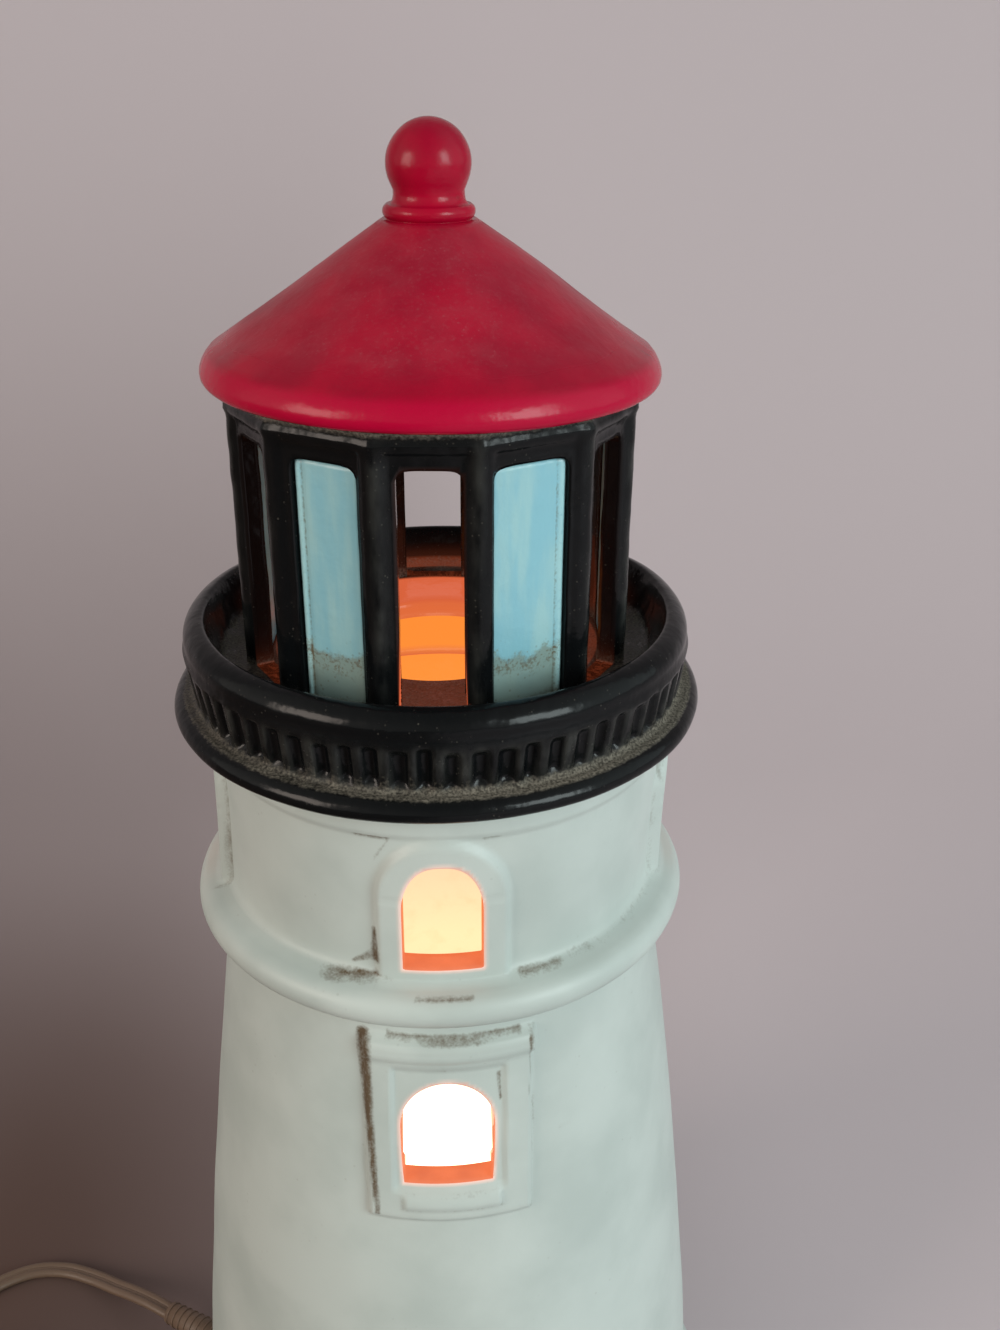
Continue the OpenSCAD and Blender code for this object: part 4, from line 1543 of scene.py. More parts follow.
    def heights(self) -> tuple[list[float], list[float]]:
        """Heights of the outer rows and of the inner rows, both upwards.

        Returns:
            The outer heights and the inner heights.
        """
        outer: list[float] = []
        for low, high, gap in self.stretches:
            outer += list(np.linspace(low, high, math.ceil((high - low) / gap) + 1)[:-1])
        outer += [self.top_z - 0.8, self.top_z - 0.3, self.top_z]
        outer = sorted(set(round(float(z), 4) for z in outer))
        inner: list[float] = []
        for z in outer:
            in_window = any(low < z < high for low, high in self.window_rows)
            if z > self.floor_top and (in_window or not inner or z - inner[-1] > 3.2 or z == outer[-1]):
                inner.append(z)
        return outer, inner

    def foot_profile(self) -> list[Place]:
        """Section of the plinth's outside.

        Returns:
            Radius and height of each point, from the wall's underside to the bead above the step.
        """
        step_r, step_z, bead_z = self.plinth_r - 4.0, self.plinth_z, self.plinth_z + 7.0
        bead_mid = float(self.body_r(np.array(bead_z)))
        foot = [(self.plinth_r - self.plinth_wall, self.foot_z), (self.plinth_r - 0.8, self.foot_z)]
        foot += [(self.plinth_r, z) for z in (self.foot_z + 0.8, 6.0, 11.0, 16.0)]
        foot += arc((self.plinth_r - 3.0, step_z - 3.0), 3.0, 0.0, 90.0, 6)
        foot += [(step_r + 0.3, step_z + 0.1), (step_r, step_z + 0.6), (step_r, step_z + 3.0)]
        foot += [(step_r - 0.4, step_z + 3.8), (bead_mid + 1.6, step_z + 4.2)]
        return foot + arc((bead_mid, bead_z), 3.0, -50.0, 60.0, 8)

    def floor_profile(self) -> list[Place]:
        """Section of the floor.

        Returns:
            Radius and height of each point, from its top by the wall to the recess under the plinth.
        """
        hole, top, low = self.floor_hole_r, self.floor_top, self.floor_z
        recess_r, recess_top = self.plinth_r - self.plinth_wall, self.plinth_z - 4.0
        floor = [(r, top) for r in (62.0, 54.0, 47.0, hole + 0.5)]
        floor += [(hole, top - 0.5), (hole, low), (53.0, low), (64.0, low)]
        return floor + [(64.0, 21.0), (64.0, recess_top), (recess_r, recess_top), (recess_r, 9.0)]

    def casting(self) -> Casting:
        """Rows and columns of the whole tower.

        Returns:
            The casting, ready to be built.
        """
        outer, inner = self.heights()
        foot = [p for p in self.foot_profile() if p[1] < outer[0] + 1.8]
        outer = [z for z in outer if z > foot[-1][1] + 0.4]
        rows = [(r, z, Row.OTHER) for r, z in foot]
        rows += [(0.0, z, Row.OUTER) for z in outer]
        rows += [(self.neck_inner_r + 2.0, self.top_z, Row.OTHER)]
        rows += [(0.0, z, Row.INNER) for z in reversed(inner)]
        rows += [(r, z, Row.OTHER) for r, z in self.floor_profile()]
        radius, height, side = (np.array(part) for part in zip(*rows))
        openings = (*self.upper, self.lower)
        return Casting(self.column_bearings(), radius, height, side, openings, self.outer, self.inner)

    def dirt(self, points: np.ndarray) -> np.ndarray:
        """Dirt in the grooves, and the marks on the front, which are dirt and painted shade.

        Args:
            points: the tower's points.

        Returns:
            Dirt and painted shade, from 0 to 1.
        """
        x, y, z = points.T
        across = np.where(y < 0, x, FAR)
        outside = np.hypot(x, y) > self.inner(0.0, z) + 1.5
        dirt = np.zeros(len(points))
        patchy = 0.5 + 0.5 * lumps(points, 14.0, 3.1)
        for z_line, width, strength in (
            (self.ring_z + 5.2, 1.0, 0.5),
            (self.ring_z - 4.9, 0.9, 0.35),
            (self.band_z - 0.5, 0.6, 0.35),
            (self.plinth_z + 0.4, 1.0, 0.75),
            (self.plinth_z + 4.2, 0.9, 0.8),
            (self.plinth_z + 10.4, 1.0, 0.7),
        ):
            dirt = np.maximum(dirt, strength * patchy * bell(z - z_line, width))
        for gap, _, soft in self.pads(across, z):
            dirt = np.maximum(dirt, 0.5 * patchy * bell(gap - soft, 0.6))
        door = arch_distance(across, z, *self.door)
        dirt = np.maximum(dirt, 0.75 * bell(door + 0.4, 0.6) * (0.5 + 0.5 * patchy))
        for plank in self.planks:
            groove = bell(across - plank, 0.5) * (door < -0.5)
            dirt = np.maximum(dirt, 0.7 * groove * (0.4 + 0.6 * patchy))
        for opening in self.upper:
            gap = arch_distance(opening.seen_across(x, y), z, *self.surround)
            near = bell(gap - 1.0, 0.9) * (z > self.ring_z + 4)
            weight = 0.25 if opening.bearing == 0.0 else 0.75
            dirt = np.maximum(dirt, weight * near * (0.35 + 0.65 * patchy))
        # The strokes hold dirt, and painted shade down the reliefs' left edges
        for stroke in self.strokes:
            dirt = np.maximum(dirt, stroke.mark(across, z))
        return dirt * outside

    def rim(self, points: np.ndarray) -> np.ndarray:
        """Warm light that comes through the ceramic round each window.

        Args:
            points: the tower's points.

        Returns:
            Light from 0 to 1.
        """
        x, y, z = points.T
        light = np.zeros(len(points))
        for opening in (*self.upper, self.lower):
            gap = opening.distance(opening.seen_across(x, y), z)
            light = np.maximum(light, bell(np.maximum(gap, 0.0), 0.55))
        return light

    def build(self) -> bpy.types.Object:
        """Make the tower.

        Returns:
            The piece.
        """
        shell = self.casting().build()
        # Dirt, with painted shade beside the front's reliefs
        shell.attributes["dirt"] = self.dirt(shell.points)
        shell.attributes["rim"] = self.rim(shell.points)
        level = np.hypot(shell.points[:, 0], shell.points[:, 1])
        swell = 0.22 * lumps(shell.points, 22.0, 5.0) * (level > 45.0) * (level < 75.0)
        push_out(shell.points, swell, level)
        piece = shell.make("tower_casting", [self.palette.get(WhiteGlaze()), self.palette.get(LitInside())])
        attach(piece, "base")
        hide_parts("tower")
        LOG.info("tower has %d faces", len(shell.faces))
        return piece


@dataclass
class Lantern:
    """Black gallery and lantern walls with six narrow open windows and six blue panes."""

    palette: Palette
    flange_r: float = 58.0
    flange_z: float = 261.0
    flange_h: float = 6.0
    spigot_r: float = 44.8
    spigot_wall: float = 3.6
    spigot_low: float = 248.5
    wall_r: float = 53.5
    wall_lean: float = 1.9
    flute_count: int = 66
    flute_depth: float = 1.5
    rim_mid_r: float = 50.5
    rim_round_r: float = 4.2
    rim_z: float = 276.9
    parapet_r: float = 46.6
    deck_z: float = 272.0
    deck_h: float = 4.0
    lens_hole_r: float = 21.0
    room_r: float = 41.0
    room_wall: float = 4.0
    room_top: float = 329.8
    turn: float = -2.0
    bays: int = 6
    narrow_half: float = 14.0
    narrow_w: float = 12.8
    wide_w: float = 15.3
    # Width, shift and pinch of the openings that the photograph shows, by place in steps from the front
    cast: tuple[tuple[float, Point], ...] = (
        (0.0, (12.3, 0.4, -0.08)),
        (0.5, (16.8, -0.7, 0.0)),
        (3.0, (14.2, 2.1, 0.0)),
        (5.5, (14.9, 0.5, 0.0)),
    )
    opening_h: float = 50.5
    post_r: float = 2.7
    cornice_w: float = 1.4
    cornice_h: float = 4.0
    columns_per_flute: int = 10
    # Radius and rise of the flange's underside, and the rim's inner slope
    under_flange: tuple[Place, ...] = ((50.6, 0.0), (51.8, 0.7), (54.0, 1.0))
    rim_inside: tuple[Place, ...] = ((49.0, 277.6), (47.7, 274.6))

    def corners(self) -> np.ndarray:
        """Bearings of the corner posts, in radians."""
        middles = [self.turn + k * 360.0 / self.bays for k in range(self.bays)]
        return np.radians([middle + side * self.narrow_half for middle in middles for side in (-1, 1)])

    def from_narrow(self, bearing: np.ndarray) -> np.ndarray:
        """Turn from the middle of the nearest narrow side, in radians."""
        step = 2 * math.pi / self.bays
        return (bearing - math.radians(self.turn) + step / 2) % step - step / 2

    def plan(self, bearing: np.ndarray, size: float) -> np.ndarray:
        """Distance from the axis to the walls' plan.

        Args:
            bearing: bearings from the front, in radians.
            size: radius over the corners.

        Returns:
            The distance.
        """
        step = 2 * math.pi / self.bays
        half = math.radians(self.narrow_half)
        away = self.from_narrow(bearing)
        narrow = size * math.cos(half) / np.cos(away)
        off = np.abs(away) - step / 2
        wide = size * math.cos(step / 2 - half) / np.cos(off)
        return np.where(np.abs(away) < half, narrow, wide)

    def outer(self, bearing: np.ndarray, z: np.ndarray) -> np.ndarray:
        """Radius of the walls' outside, with posts, header and cornice.

        Args:
            bearing: bearings from the front, in radians.
            z: heights.

        Returns:
            The radius.
        """
        wall = self.plan(bearing, self.room_r)
        middle = self.room_r - 0.7 * self.post_r
        gap = np.full(bearing.shape, 9.0)
        for corner in self.corners():
            gap = np.minimum(gap, np.abs(turn_from(bearing, corner)))
        sideways = middle * np.sin(np.minimum(gap, 1.5))
        post = middle * np.cos(gap) + np.sqrt(np.maximum(0.0, self.post_r**2 - sideways**2))
        post = np.where(sideways < self.post_r, post, 0.0)
        top = self.deck_z + self.opening_h + 2.5
        blend = 0.9
        mixed = np.maximum(wall, post) + blend * 0.25 * bell(post - wall, blend)
        shape = np.where(z < top, mixed, wall + (mixed - wall) * (1.0 - smooth(top - 0.5, top + 2.0, z)))
        cornice = smooth(self.room_top - self.cornice_h - 0.7, self.room_top - self.cornice_h + 0.5, z)
        groove = bell(z - self.room_top + 0.9, 0.7)
        return shape + self.cornice_w * cornice - 0.9 * groove

    def inner(self, bearing: np.ndarray, z: np.ndarray) -> np.ndarray:
        """Radius of the walls' inside."""
        return self.plan(bearing, self.room_r - self.room_wall) + 0.0 * z

    def openings(self) -> list[Opening]:
        """The twelve window openings.

        Returns:
            Narrow and wide openings in turn, from the front to the right.
        """
        step = 360.0 / self.bays
        cast = dict(self.cast)
        made: list[Opening] = []
        for k in range(self.bays):
            for place, width in ((float(k), self.narrow_w), (k + 0.5, self.wide_w)):
                bearing = (self.turn + place * step + 180.0) % 360.0 - 180.0
                width, shift, pinch = cast.get(place, (width, 0.0, 0.0))
                outline = {"head": 2.4, "shift": shift, "side_power": 6.0, "foot_pinch": pinch}
                made.append(Opening(bearing, self.deck_z, width, self.opening_h, **outline))
        return made

    def walls(self) -> bpy.types.Object:
        """Make the lantern walls.

        Returns:
            The piece.
        """
        columns = np.radians(np.arange(-180.0, 180.0, 0.75))
        low, high = self.deck_z - 1.0, self.room_top
        heights = [low, *np.linspace(self.deck_z, high, 56)]
        rows = [(0.0, z, Row.OUTER) for z in heights]
        rows += [(self.room_r - 3.0, high, Row.OTHER)]
        rows += [(0.0, z, Row.INNER) for z in reversed(heights)]
        radius, height, side = (np.array(part) for part in zip(*rows))
        shell = Casting(columns, radius, height, side, self.openings(), self.outer, self.inner).build()
        self.dress_walls(shell)
        shell.slots = None
        piece = shell.make("lantern_walls", [self.palette.get(BlackGlaze())])
        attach(piece, "lantern_top")
        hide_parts("lantern_room")
        return piece

    def dress_walls(self, shell: Shell) -> None:
        """Give the walls their dust, painted highlight streaks and light, and the unevenness of a casting.

        Args:
            shell: the walls, changed in place.
        """
        points = shell.points
        x, y, z = points.T
        r = np.hypot(x, y)
        bearing = np.arctan2(x, -y)
        inside = smooth(1.2, 0.2, r - self.inner(bearing, z))
        rise = z - self.deck_z
        spots = 0.5 + 0.5 * lumps(points, 5.0, 8.0)
        foot = np.exp(-rise / 2.2)
        ledge = bell(z - self.room_top + self.cornice_h - 0.2, 0.8)
        hem = smooth(self.room_top - 1.6, self.room_top - 0.6, z)
        soiled = 0.75 * foot + 0.2 * ledge + 0.85 * hem + 0.16 * spots + 0.2 * inside
        shell.attributes["dirt"] = np.clip(soiled, 0.0, 1.0)
        away = np.abs(self.from_narrow(bearing))
        narrow = away < math.radians(self.narrow_half)
        # Painted highlight: a grey streak beside each post stands in for its reflection
        streak = bell((away - math.radians(self.narrow_half)) * r + 0.8, 1.1)
        streak_breakup = 0.25 + 0.4 * lumps(points * (1.0, 1.0, 0.3), 6.0, 3.0)
        shell.attributes["rub_and_sheen"] = streak * (1.0 - inside) * streak_breakup
        lit = np.where(np.abs(bearing) < 0.35, 0.12 + 0.5 * bell(rise, 19.0), 0.02 + 0.36 * foot)
        edge = shell.attributes["reveal"] * narrow * lit
        shell.attributes["glow"] = np.maximum(edge, inside * (0.03 + 0.14 * np.exp(-rise / 8.0)))
        push_out(points, 0.16 * lumps(points, 7.0, 2.0) + 0.1 * lumps(points, 3.0, 4.0), r)

    def gallery_profile(self) -> list[Place]:
        """Closed section of the gallery, from the spigot's foot up its outside.

        Returns:
            Radius and height of each corner.
        """
        low, top = self.flange_z - self.flange_h / 2, self.flange_z + self.flange_h / 2
        edge_r = self.flange_r - self.flange_h / 2
        foot = self.spigot_low
        section = [(self.spigot_r - self.spigot_wall, foot), (self.spigot_r - 0.6, foot)]
        section += [(self.spigot_r, foot + 0.6), (self.spigot_r, low)]
        section += [(r, low + rise) for r, rise in self.under_flange]
        edge = arc((edge_r, self.flange_z), self.flange_h / 2, -90.0, 90.0, 14)
        section += [(r, max(z, 0.66 * z + 0.34 * self.flange_z)) for r, z in edge]
        section += [(self.wall_r + 0.9, top), (self.wall_r + 0.2, top + 0.4)]
        fluted = np.linspace(top + 0.9, self.rim_z - 2.4, 14)
        section += [(float(self.wall_face(z)), float(z)) for z in fluted]
        section += [(self.rim_mid_r + self.rim_round_r - 0.05, self.rim_z - 1.6)]
        section += arc((self.rim_mid_r, self.rim_z), self.rim_round_r, 0.0, 84.0, 12)
        section += [(self.rim_mid_r - 0.1, self.rim_z + self.rim_round_r - 0.1)]
        section += [(self.rim_mid_r - 0.6, self.rim_z + self.rim_round_r - 0.8)]
        section += self.rim_inside
        section += [(self.parapet_r + 0.2, self.deck_z + 0.7), (self.parapet_r - 0.7, self.deck_z)]
        section += [(self.lens_hole_r + 0.8, self.deck_z), (self.lens_hole_r, self.deck_z - 0.8)]
        section += [(self.lens_hole_r, self.deck_z - self.deck_h)]
        section += [(self.spigot_r - self.spigot_wall, self.deck_z - self.deck_h)]
        return section

    def wall_face(self, z: np.ndarray | float) -> np.ndarray | float:
        """Radius of the fluted wall, which leans out to the rim."""
        foot = self.flange_z + self.flange_h / 2
        return self.wall_r + self.wall_lean * (z - foot) / (self.rim_z - foot)

    def flute_shape(self, bearing: np.ndarray, z: np.ndarray) -> np.ndarray:
        """Depth of the flutes, each a little different.

        Args:
            bearing: bearings in radians.
            z: heights.

        Returns:
            Depth in millimetres.
        """
        rng = np.random.default_rng(11)
        count = self.flute_count
        place = (bearing / (2 * math.pi) * count) % count
        index = np.floor(place).astype(int) % count
        within = place - np.floor(place) - 0.5
        drift = rng.uniform(-0.07, 0.07, count)[index]
        half = rng.uniform(0.27, 0.36, count)[index]
        deep = rng.uniform(0.75, 1.1, count)[index]
        low = self.flange_z + self.flange_h / 2 + rng.uniform(0.3, 1.2, count)[index]
        high = self.rim_z - 2.6 - rng.uniform(0.0, 1.3, count)[index]
        hollow = np.sqrt(np.maximum(0.0, 1.0 - ((within - drift) / half) ** 2))
        ends = smooth(-0.3, 1.1, z - low) * smooth(-0.3, 1.1, high - z)
        return self.flute_depth * deep * hollow * ends

    def gallery_rows(self) -> np.ndarray:
        """The gallery's section with corners at most three millimetres apart.

        Returns:
            Radius and height of each row.
        """
        section = self.gallery_profile()
        rows: list[Place] = []
        for (r0, z0), (r1, z1) in zip(section, [*section[1:], section[0]]):
            steps = max(1, math.ceil(math.hypot(r1 - r0, z1 - z0) / 3.0))
            rows += [(r0 + (r1 - r0) * s / steps, z0 + (z1 - z0) * s / steps) for s in range(steps)]
        return np.array(rows)

    def gallery(self) -> bpy.types.Object:
        """Make the gallery with its flutes.

        Returns:
            The piece.
        """
        profile = self.gallery_rows()
        count = self.flute_count * self.columns_per_flute
        bearing = np.tile(np.arange(count) * 2 * math.pi / count, (len(profile), 1))
        r = np.repeat(profile[:, :1], count, axis=1)
        z = np.repeat(profile[:, 1:], count, axis=1)
        wall = (np.abs(r - self.wall_face(z)) < 0.3) & (z > self.flange_z + 1.0)
        depth = np.where(wall, self.flute_shape(bearing, z), 0.0)
        r = r - depth
        shell = Shell(spun(r, bearing, z), sweep_faces(len(profile), count, True))
        self.dust_gallery(shell, r.ravel(), z.ravel(), depth.ravel())
        self.light_gallery(shell, r.ravel(), z.ravel())
        droop = 1.3 * smooth(20.0, 48.0, shell.points[:, 1])
        shell.points[:, 2] -= droop * smooth(self.deck_z + 1.0, self.rim_z, z.ravel())
        level = np.hypot(shell.points[:, 0], shell.points[:, 1])
        push_out(shell.points, 0.2 * lumps(shell.points, 16.0, 1.0) * (r.ravel() > 45.5), level)
        piece = shell.make("gallery_casting", [self.palette.get(BlackGlaze())])
        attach(piece, "lantern_top")
        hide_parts("gallery")
        LOG.info("gallery has %d faces", len(shell.faces))
        return piece

    def dust_gallery(self, shell: Shell, r: np.ndarray, z: np.ndarray, depth: np.ndarray) -> None:
        """Put dust on the ledge, the crests of the flutes, the floor and the rim.

        Args:
            shell: the gallery, which gets the dirt attribute and the painted highlight on the ribs.
            r: radius of each point.
            z: height of each point.
            depth: depth of the flute at each point.
        """
        points = shell.points
        top = self.flange_z + self.flange_h / 2
        spots = 0.5 + 0.5 * lumps(points, 9.0, 6.0)
        ledge = smooth(top - 0.9, top - 0.1, z) * smooth(top + 2.4, top + 0.2, z)
        ledge *= (r > 50.0) * smooth(57.4, 55.6, r)
        ledge *= 0.56 + 0.12 * spots + 0.3 * smooth(-30.0, 30.0, points[:, 0])
        on_wall = (z > top) & (z < self.rim_z - 2.0) & (r > 49.0)
        rib = on_wall * (1.0 - smooth(0.1, 0.8, depth)) * smooth(self.rim_z - 1.8, self.rim_z - 4.0, z)
        crest = (0.3 + 0.3 * spots) * rib * smooth(self.rim_z - 3.0, top, z)
        floor = (r < self.parapet_r + 0.4) * smooth(self.deck_z - 1.0, self.deck_z, z)
        floor *= smooth(self.deck_z + 3.5, self.deck_z + 0.5, z)
        floor *= (1.0 - 0.85 * self.in_room(r, z) * smooth(8.0, 16.0, points[:, 1])) * (0.5 + 0.25 * spots)
        rim_dust = (0.16 + 0.34 * smooth(52.2, 50.6, r)) * spots * smooth(self.rim_z, self.rim_z + 3.0, z)
        dirt = np.maximum.reduce([0.95 * ledge, crest, 0.92 * floor, rim_dust])
        shell.attributes["dirt"] = np.clip(dirt, 0.0, 1.0)
        # Painted highlight: grey along the crests of the flutes' ribs
        shell.attributes["rub_and_sheen"] = rib * (0.25 + 0.6 * spots * spots)

    def light_gallery(self, shell: Shell, r: np.ndarray, z: np.ndarray) -> None:
        """Light the floor, the hole in it and the underside that faces the bulb.

        Args:
            shell: the gallery, which gets the attribute glow.
            r: radius of each point.
            z: height of each point.
        """
        y = shell.points[:, 1]
        back = smooth(8.0, 16.0, y)
        floor = self.in_room(r, z) * (0.6 * back + 0.34 * (1.0 - back))
        behind = smooth(41.0, 43.0, r) * smooth(10.0, 30.0, y) * smooth(self.deck_z - 1.0, self.deck_z, z)
        behind *= smooth(self.rim_z + 2.0, self.deck_z, z) * (r < self.rim_mid_r)
        hole = 0.66 * (r < self.lens_hole_r + 0.5) * (z < self.deck_z - 0.3)
        under = (r < self.spigot_r - 2.0) & (z < self.deck_z - self.deck_h + 0.2)
        under = under * (r > self.lens_hole_r + 1.0) * (1.0 - 0.35 * smooth(249.6, 248.6, z))
        shell.attributes["glow"] = np.maximum.reduce([floor + 0.36 * behind, hole, under])

    def in_room(self, r: np.ndarray, z: np.ndarray) -> np.ndarray:
        """Share of each point that is floor inside the lantern's walls."""
        return (r < self.room_r - 4.0) * smooth(self.deck_z - 0.4, self.deck_z, z)

    def build(self) -> None:
        """Make the black pieces."""
        self.gallery()
        self.walls()


@dataclass
class Panes:
    """Blue panels that fill the six wide openings."""

    palette: Palette
    lantern: Lantern
    recess: float = 0.9
    thickness: float = 2.6
    bevel: float = 0.8
    groove: float = 2.0
    tide: float = 11.2
    cells_across: int = 30
    cells_up: int = 72
    names: tuple[str, ...] = (
        "pane_front_right",
        "pane_right",
        "pane_back_right",
        "pane_back_left",
        "pane_left",
        "pane_front_left",
    )

    def face(self, across: np.ndarray, rise: np.ndarray, half: float, groove: np.ndarray) -> np.ndarray:
        """Depth of the glazed face behind the plane of the pane's front.

        Args:
            across: places across the pane.
            rise: heights above the deck.
            half: half the pane's width.
            groove: distance of each place from the pane's cast line.

        Returns:
            The depth in millimetres.
        """
        edge = np.minimum(half - np.abs(across), self.lantern.opening_h - rise)
        bevel = 0.7 * (1.0 - smooth(0.0, self.bevel, edge))
        waves = lumps(np.stack([across, rise, 0 * rise], axis=-1).reshape(-1, 3), 9.0, half)
        return bevel + 0.35 * bell(groove, 0.3) + 0.1 * np.abs(waves).reshape(across.shape)

    def pane(self, opening: Opening, name: str) -> bpy.types.Object:
        """Make one pane.

        Args:
            opening: the wide opening that it fills.
            name: the CAD node it stands for.

        Returns:
            The piece.
        """
        room = self.lantern
        wide, tall = self.cells_across, self.cells_up
        half = 0.5 * opening.width - 0.05
        u = half * np.sin(np.linspace(-0.5, 0.5, wide + 1) * math.pi)
        across, rise = np.meshgrid(u, room.opening_h * np.linspace(0.0, 1.0, tall + 1))
        mirror = 1.0 if opening.bearing < 0 else -1.0
        groove = half + mirror * across - self.groove
        plane = room.room_r * math.cos(math.radians(180.0 / room.bays - room.narrow_half)) - self.recess
        front = plane - self.face(across, rise, half, groove)
        facing = math.radians(opening.bearing)
        sides = []
        for distance in (front, np.full(across.shape, plane - self.thickness)):
            shifted = across + opening.shift
            x = shifted * math.cos(facing) + distance * math.sin(facing)
            y = shifted * math.sin(facing) - distance * math.cos(facing)
            sides.append(np.stack([x, y, room.deck_z + rise], axis=-1).reshape(-1, 3))
        margin = np.minimum(half - np.abs(across), room.opening_h - rise)
        line = (0.62 + 0.25 * smooth(20.0, 0.0, rise)) * bell(groove, 0.35)
        sill = 0.95 * bell(rise, 2.2 + 0.12 * across)
        dirt = np.maximum.reduce([line, sill, 0.3 * smooth(1.2, 0.1, margin)])
        sag = 1.6 * (np.abs(across) / half) ** 2
        shell = Shell(np.vstack(sides), slab_faces(wide, tall))
        looks = {
            "dirt": (dirt, 0.2),
            "strip": (0.7 * smooth(-0.2, -0.6, groove), 0.0),
            "tide": (rise - self.tide - sag, 5.0),
        }
        for look, (shown, hidden) in looks.items():
            shell.attributes[look] = np.concatenate([shown.ravel(), np.full(shown.size, hidden)])
        piece = shell.make(f"{name}_panel", [self.palette.get(BlueGlaze())])
        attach(piece, "lantern_top")
        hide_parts(name)
        return piece

    def build(self) -> None:
        """Make the six panes."""
        wide = self.lantern.openings()[1::2]
        for opening, name in zip(wide, self.names):
            self.pane(opening, name)
        LOG.info("%d panes made", len(self.names))


@dataclass
class Roof:
    """Crimson cone roof with a rounded eaves band, a collar, a short neck and a ball."""

    palette: Palette
    lantern_top: float = 329.8
    cone_r: float = 43.9
    foot_z: float = 336.6
    slope: float = 33.8
    wall: float = 4.0
    inner_r: float = 37.0
    inner_top_r: float = 6.0
    collar_z: float = 360.0
    ball_r: float = 8.2
    ball_z: float = 370.6
    neck_groove_z: float = 364.8
    columns: int = 200
    cone_rows: int = 28
    inside_rows: int = 10
    neck: tuple[Place, ...] = ((6.9, 365.9), (6.9, 364.9), (7.1, 364.0), (7.7, 363.3))
    shoulder: Place = (43.1, 337.1)
    eaves: tuple[Place, ...] = (
        (44.0, 336.55),
        (44.9, 335.5),
        (45.6, 334.3),
        (46.0, 333.2),
        (46.1, 332.4),
        (46.0, 331.6),
        (45.6, 330.95),
        (44.9, 330.5),
        (43.9, 330.3),
    )

    def profile(self) -> list[Place]:
        """Closed section from the top of the ball down the outside and back up inside.

        Returns:
            Radius and height of each point.
        """
        rise = math.tan(math.radians(self.slope))
        section = arc((0.0, self.ball_z), self.ball_r, 90.0, -25.0, 20)
        section[0] = (0.0, self.ball_z + self.ball_r)
        section += self.neck
        section += arc((7.45, self.collar_z + 2.0), 1.6, 62.0, -55.0, 8)
        section += [(8.3, self.collar_z + 0.6), (8.7, self.collar_z + 0.55)]
        start, shoulder = np.array((9.3, self.collar_z + 0.65)), np.array(self.shoulder)
        for t in np.linspace(0.0, 1.0, self.cone_rows + 1):
            r, z = start + (shoulder - start) * t
            section.append((float(r), float(z) + 0.2 * math.sin(2 * math.pi * t)))
        section += self.eaves
        section += [(41.0, self.lantern_top), (self.inner_r + 0.6, self.lantern_top)]
        section += [(self.inner_r, self.lantern_top + 0.6)]
        drop = self.wall / math.cos(math.radians(self.slope))
        corner_z = self.foot_z + (self.cone_r - self.inner_r) * rise - drop
        top_z = self.foot_z + (self.cone_r - self.inner_top_r) * rise - drop
        section += [(self.inner_r, corner_z)]
        for i in range(1, self.inside_rows + 1):
            part = i / self.inside_rows
            r = self.inner_r + (self.inner_top_r - self.inner_r) * part
            section.append((r, corner_z + (top_z - corner_z) * part))
        section += [(3.0, top_z), (0.0, top_z)]
        return section

    def build(self) -> bpy.types.Object:
        """Make the roof.

        Returns:
            The piece.
        """
        section = np.array(self.profile())
        bearing = np.arange(self.columns) * 2 * math.pi / self.columns
        r, z = section[:, :1], np.repeat(section[:, 1:], self.columns, axis=1)
        points = spun(r, bearing, z)
        flat_r, flat_z = np.repeat(section[:, 0], self.columns), z.ravel()
        index = np.repeat(np.arange(len(section)), self.columns)
        end_corners = 4
        outside = index < len(section) - self.inside_rows - end_corners
        on_cone = outside & (flat_z < self.collar_z) & (flat_z > self.foot_z - 0.5)
        shell = Shell(points, sweep_faces(len(section), self.columns, False))
        patch = 0.5 + 0.5 * lumps(points, 11.0, 4.0)
        wear_and_sheen = smooth(42.5, 36.0, flat_r)
        front_left = 0.75 + 0.25 * np.clip(-points[:, 0] / 30.0, -1.0, 1.0)
        shell.attributes["haze"] = on_cone * wear_and_sheen * np.clip(0.35 + 0.8 * patch, 0.0, 1.0) * front_left
        groove = bell(flat_z - self.collar_z, 0.5) + bell(flat_z - self.neck_groove_z, 1.0)
        hem = bell(flat_z - self.lantern_top, 0.5) * outside
        shell.attributes["dirt"] = np.clip((0.7 * groove * patch + 0.5 * hem) * outside, 0.0, 1.0)
        # Painted highlight: marks the eaves band for the brighter red
        shell.attributes["rim"] = smooth(43.6, 45.2, flat_r) * outside
        points[:, 2] -= 0.011 * points[:, 0] * smooth(20.0, 40.0, flat_r) * outside
        level = np.maximum(np.hypot(points[:, 0], points[:, 1]), 0.5)
        wobble = 0.22 * lumps(points, 14.0, 9.0) + 0.1 * lumps(points, 5.0, 9.5)
        push_out(points, wobble * smooth(1.0, 6.0, level) * (flat_r < 45.0), level)
        piece = shell.tidy().make("roof_casting", [self.palette.get(RedGlaze())])
        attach(piece, "lantern_top")
        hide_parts("roof")
        return piece


# Pieces made by Geometry Nodes


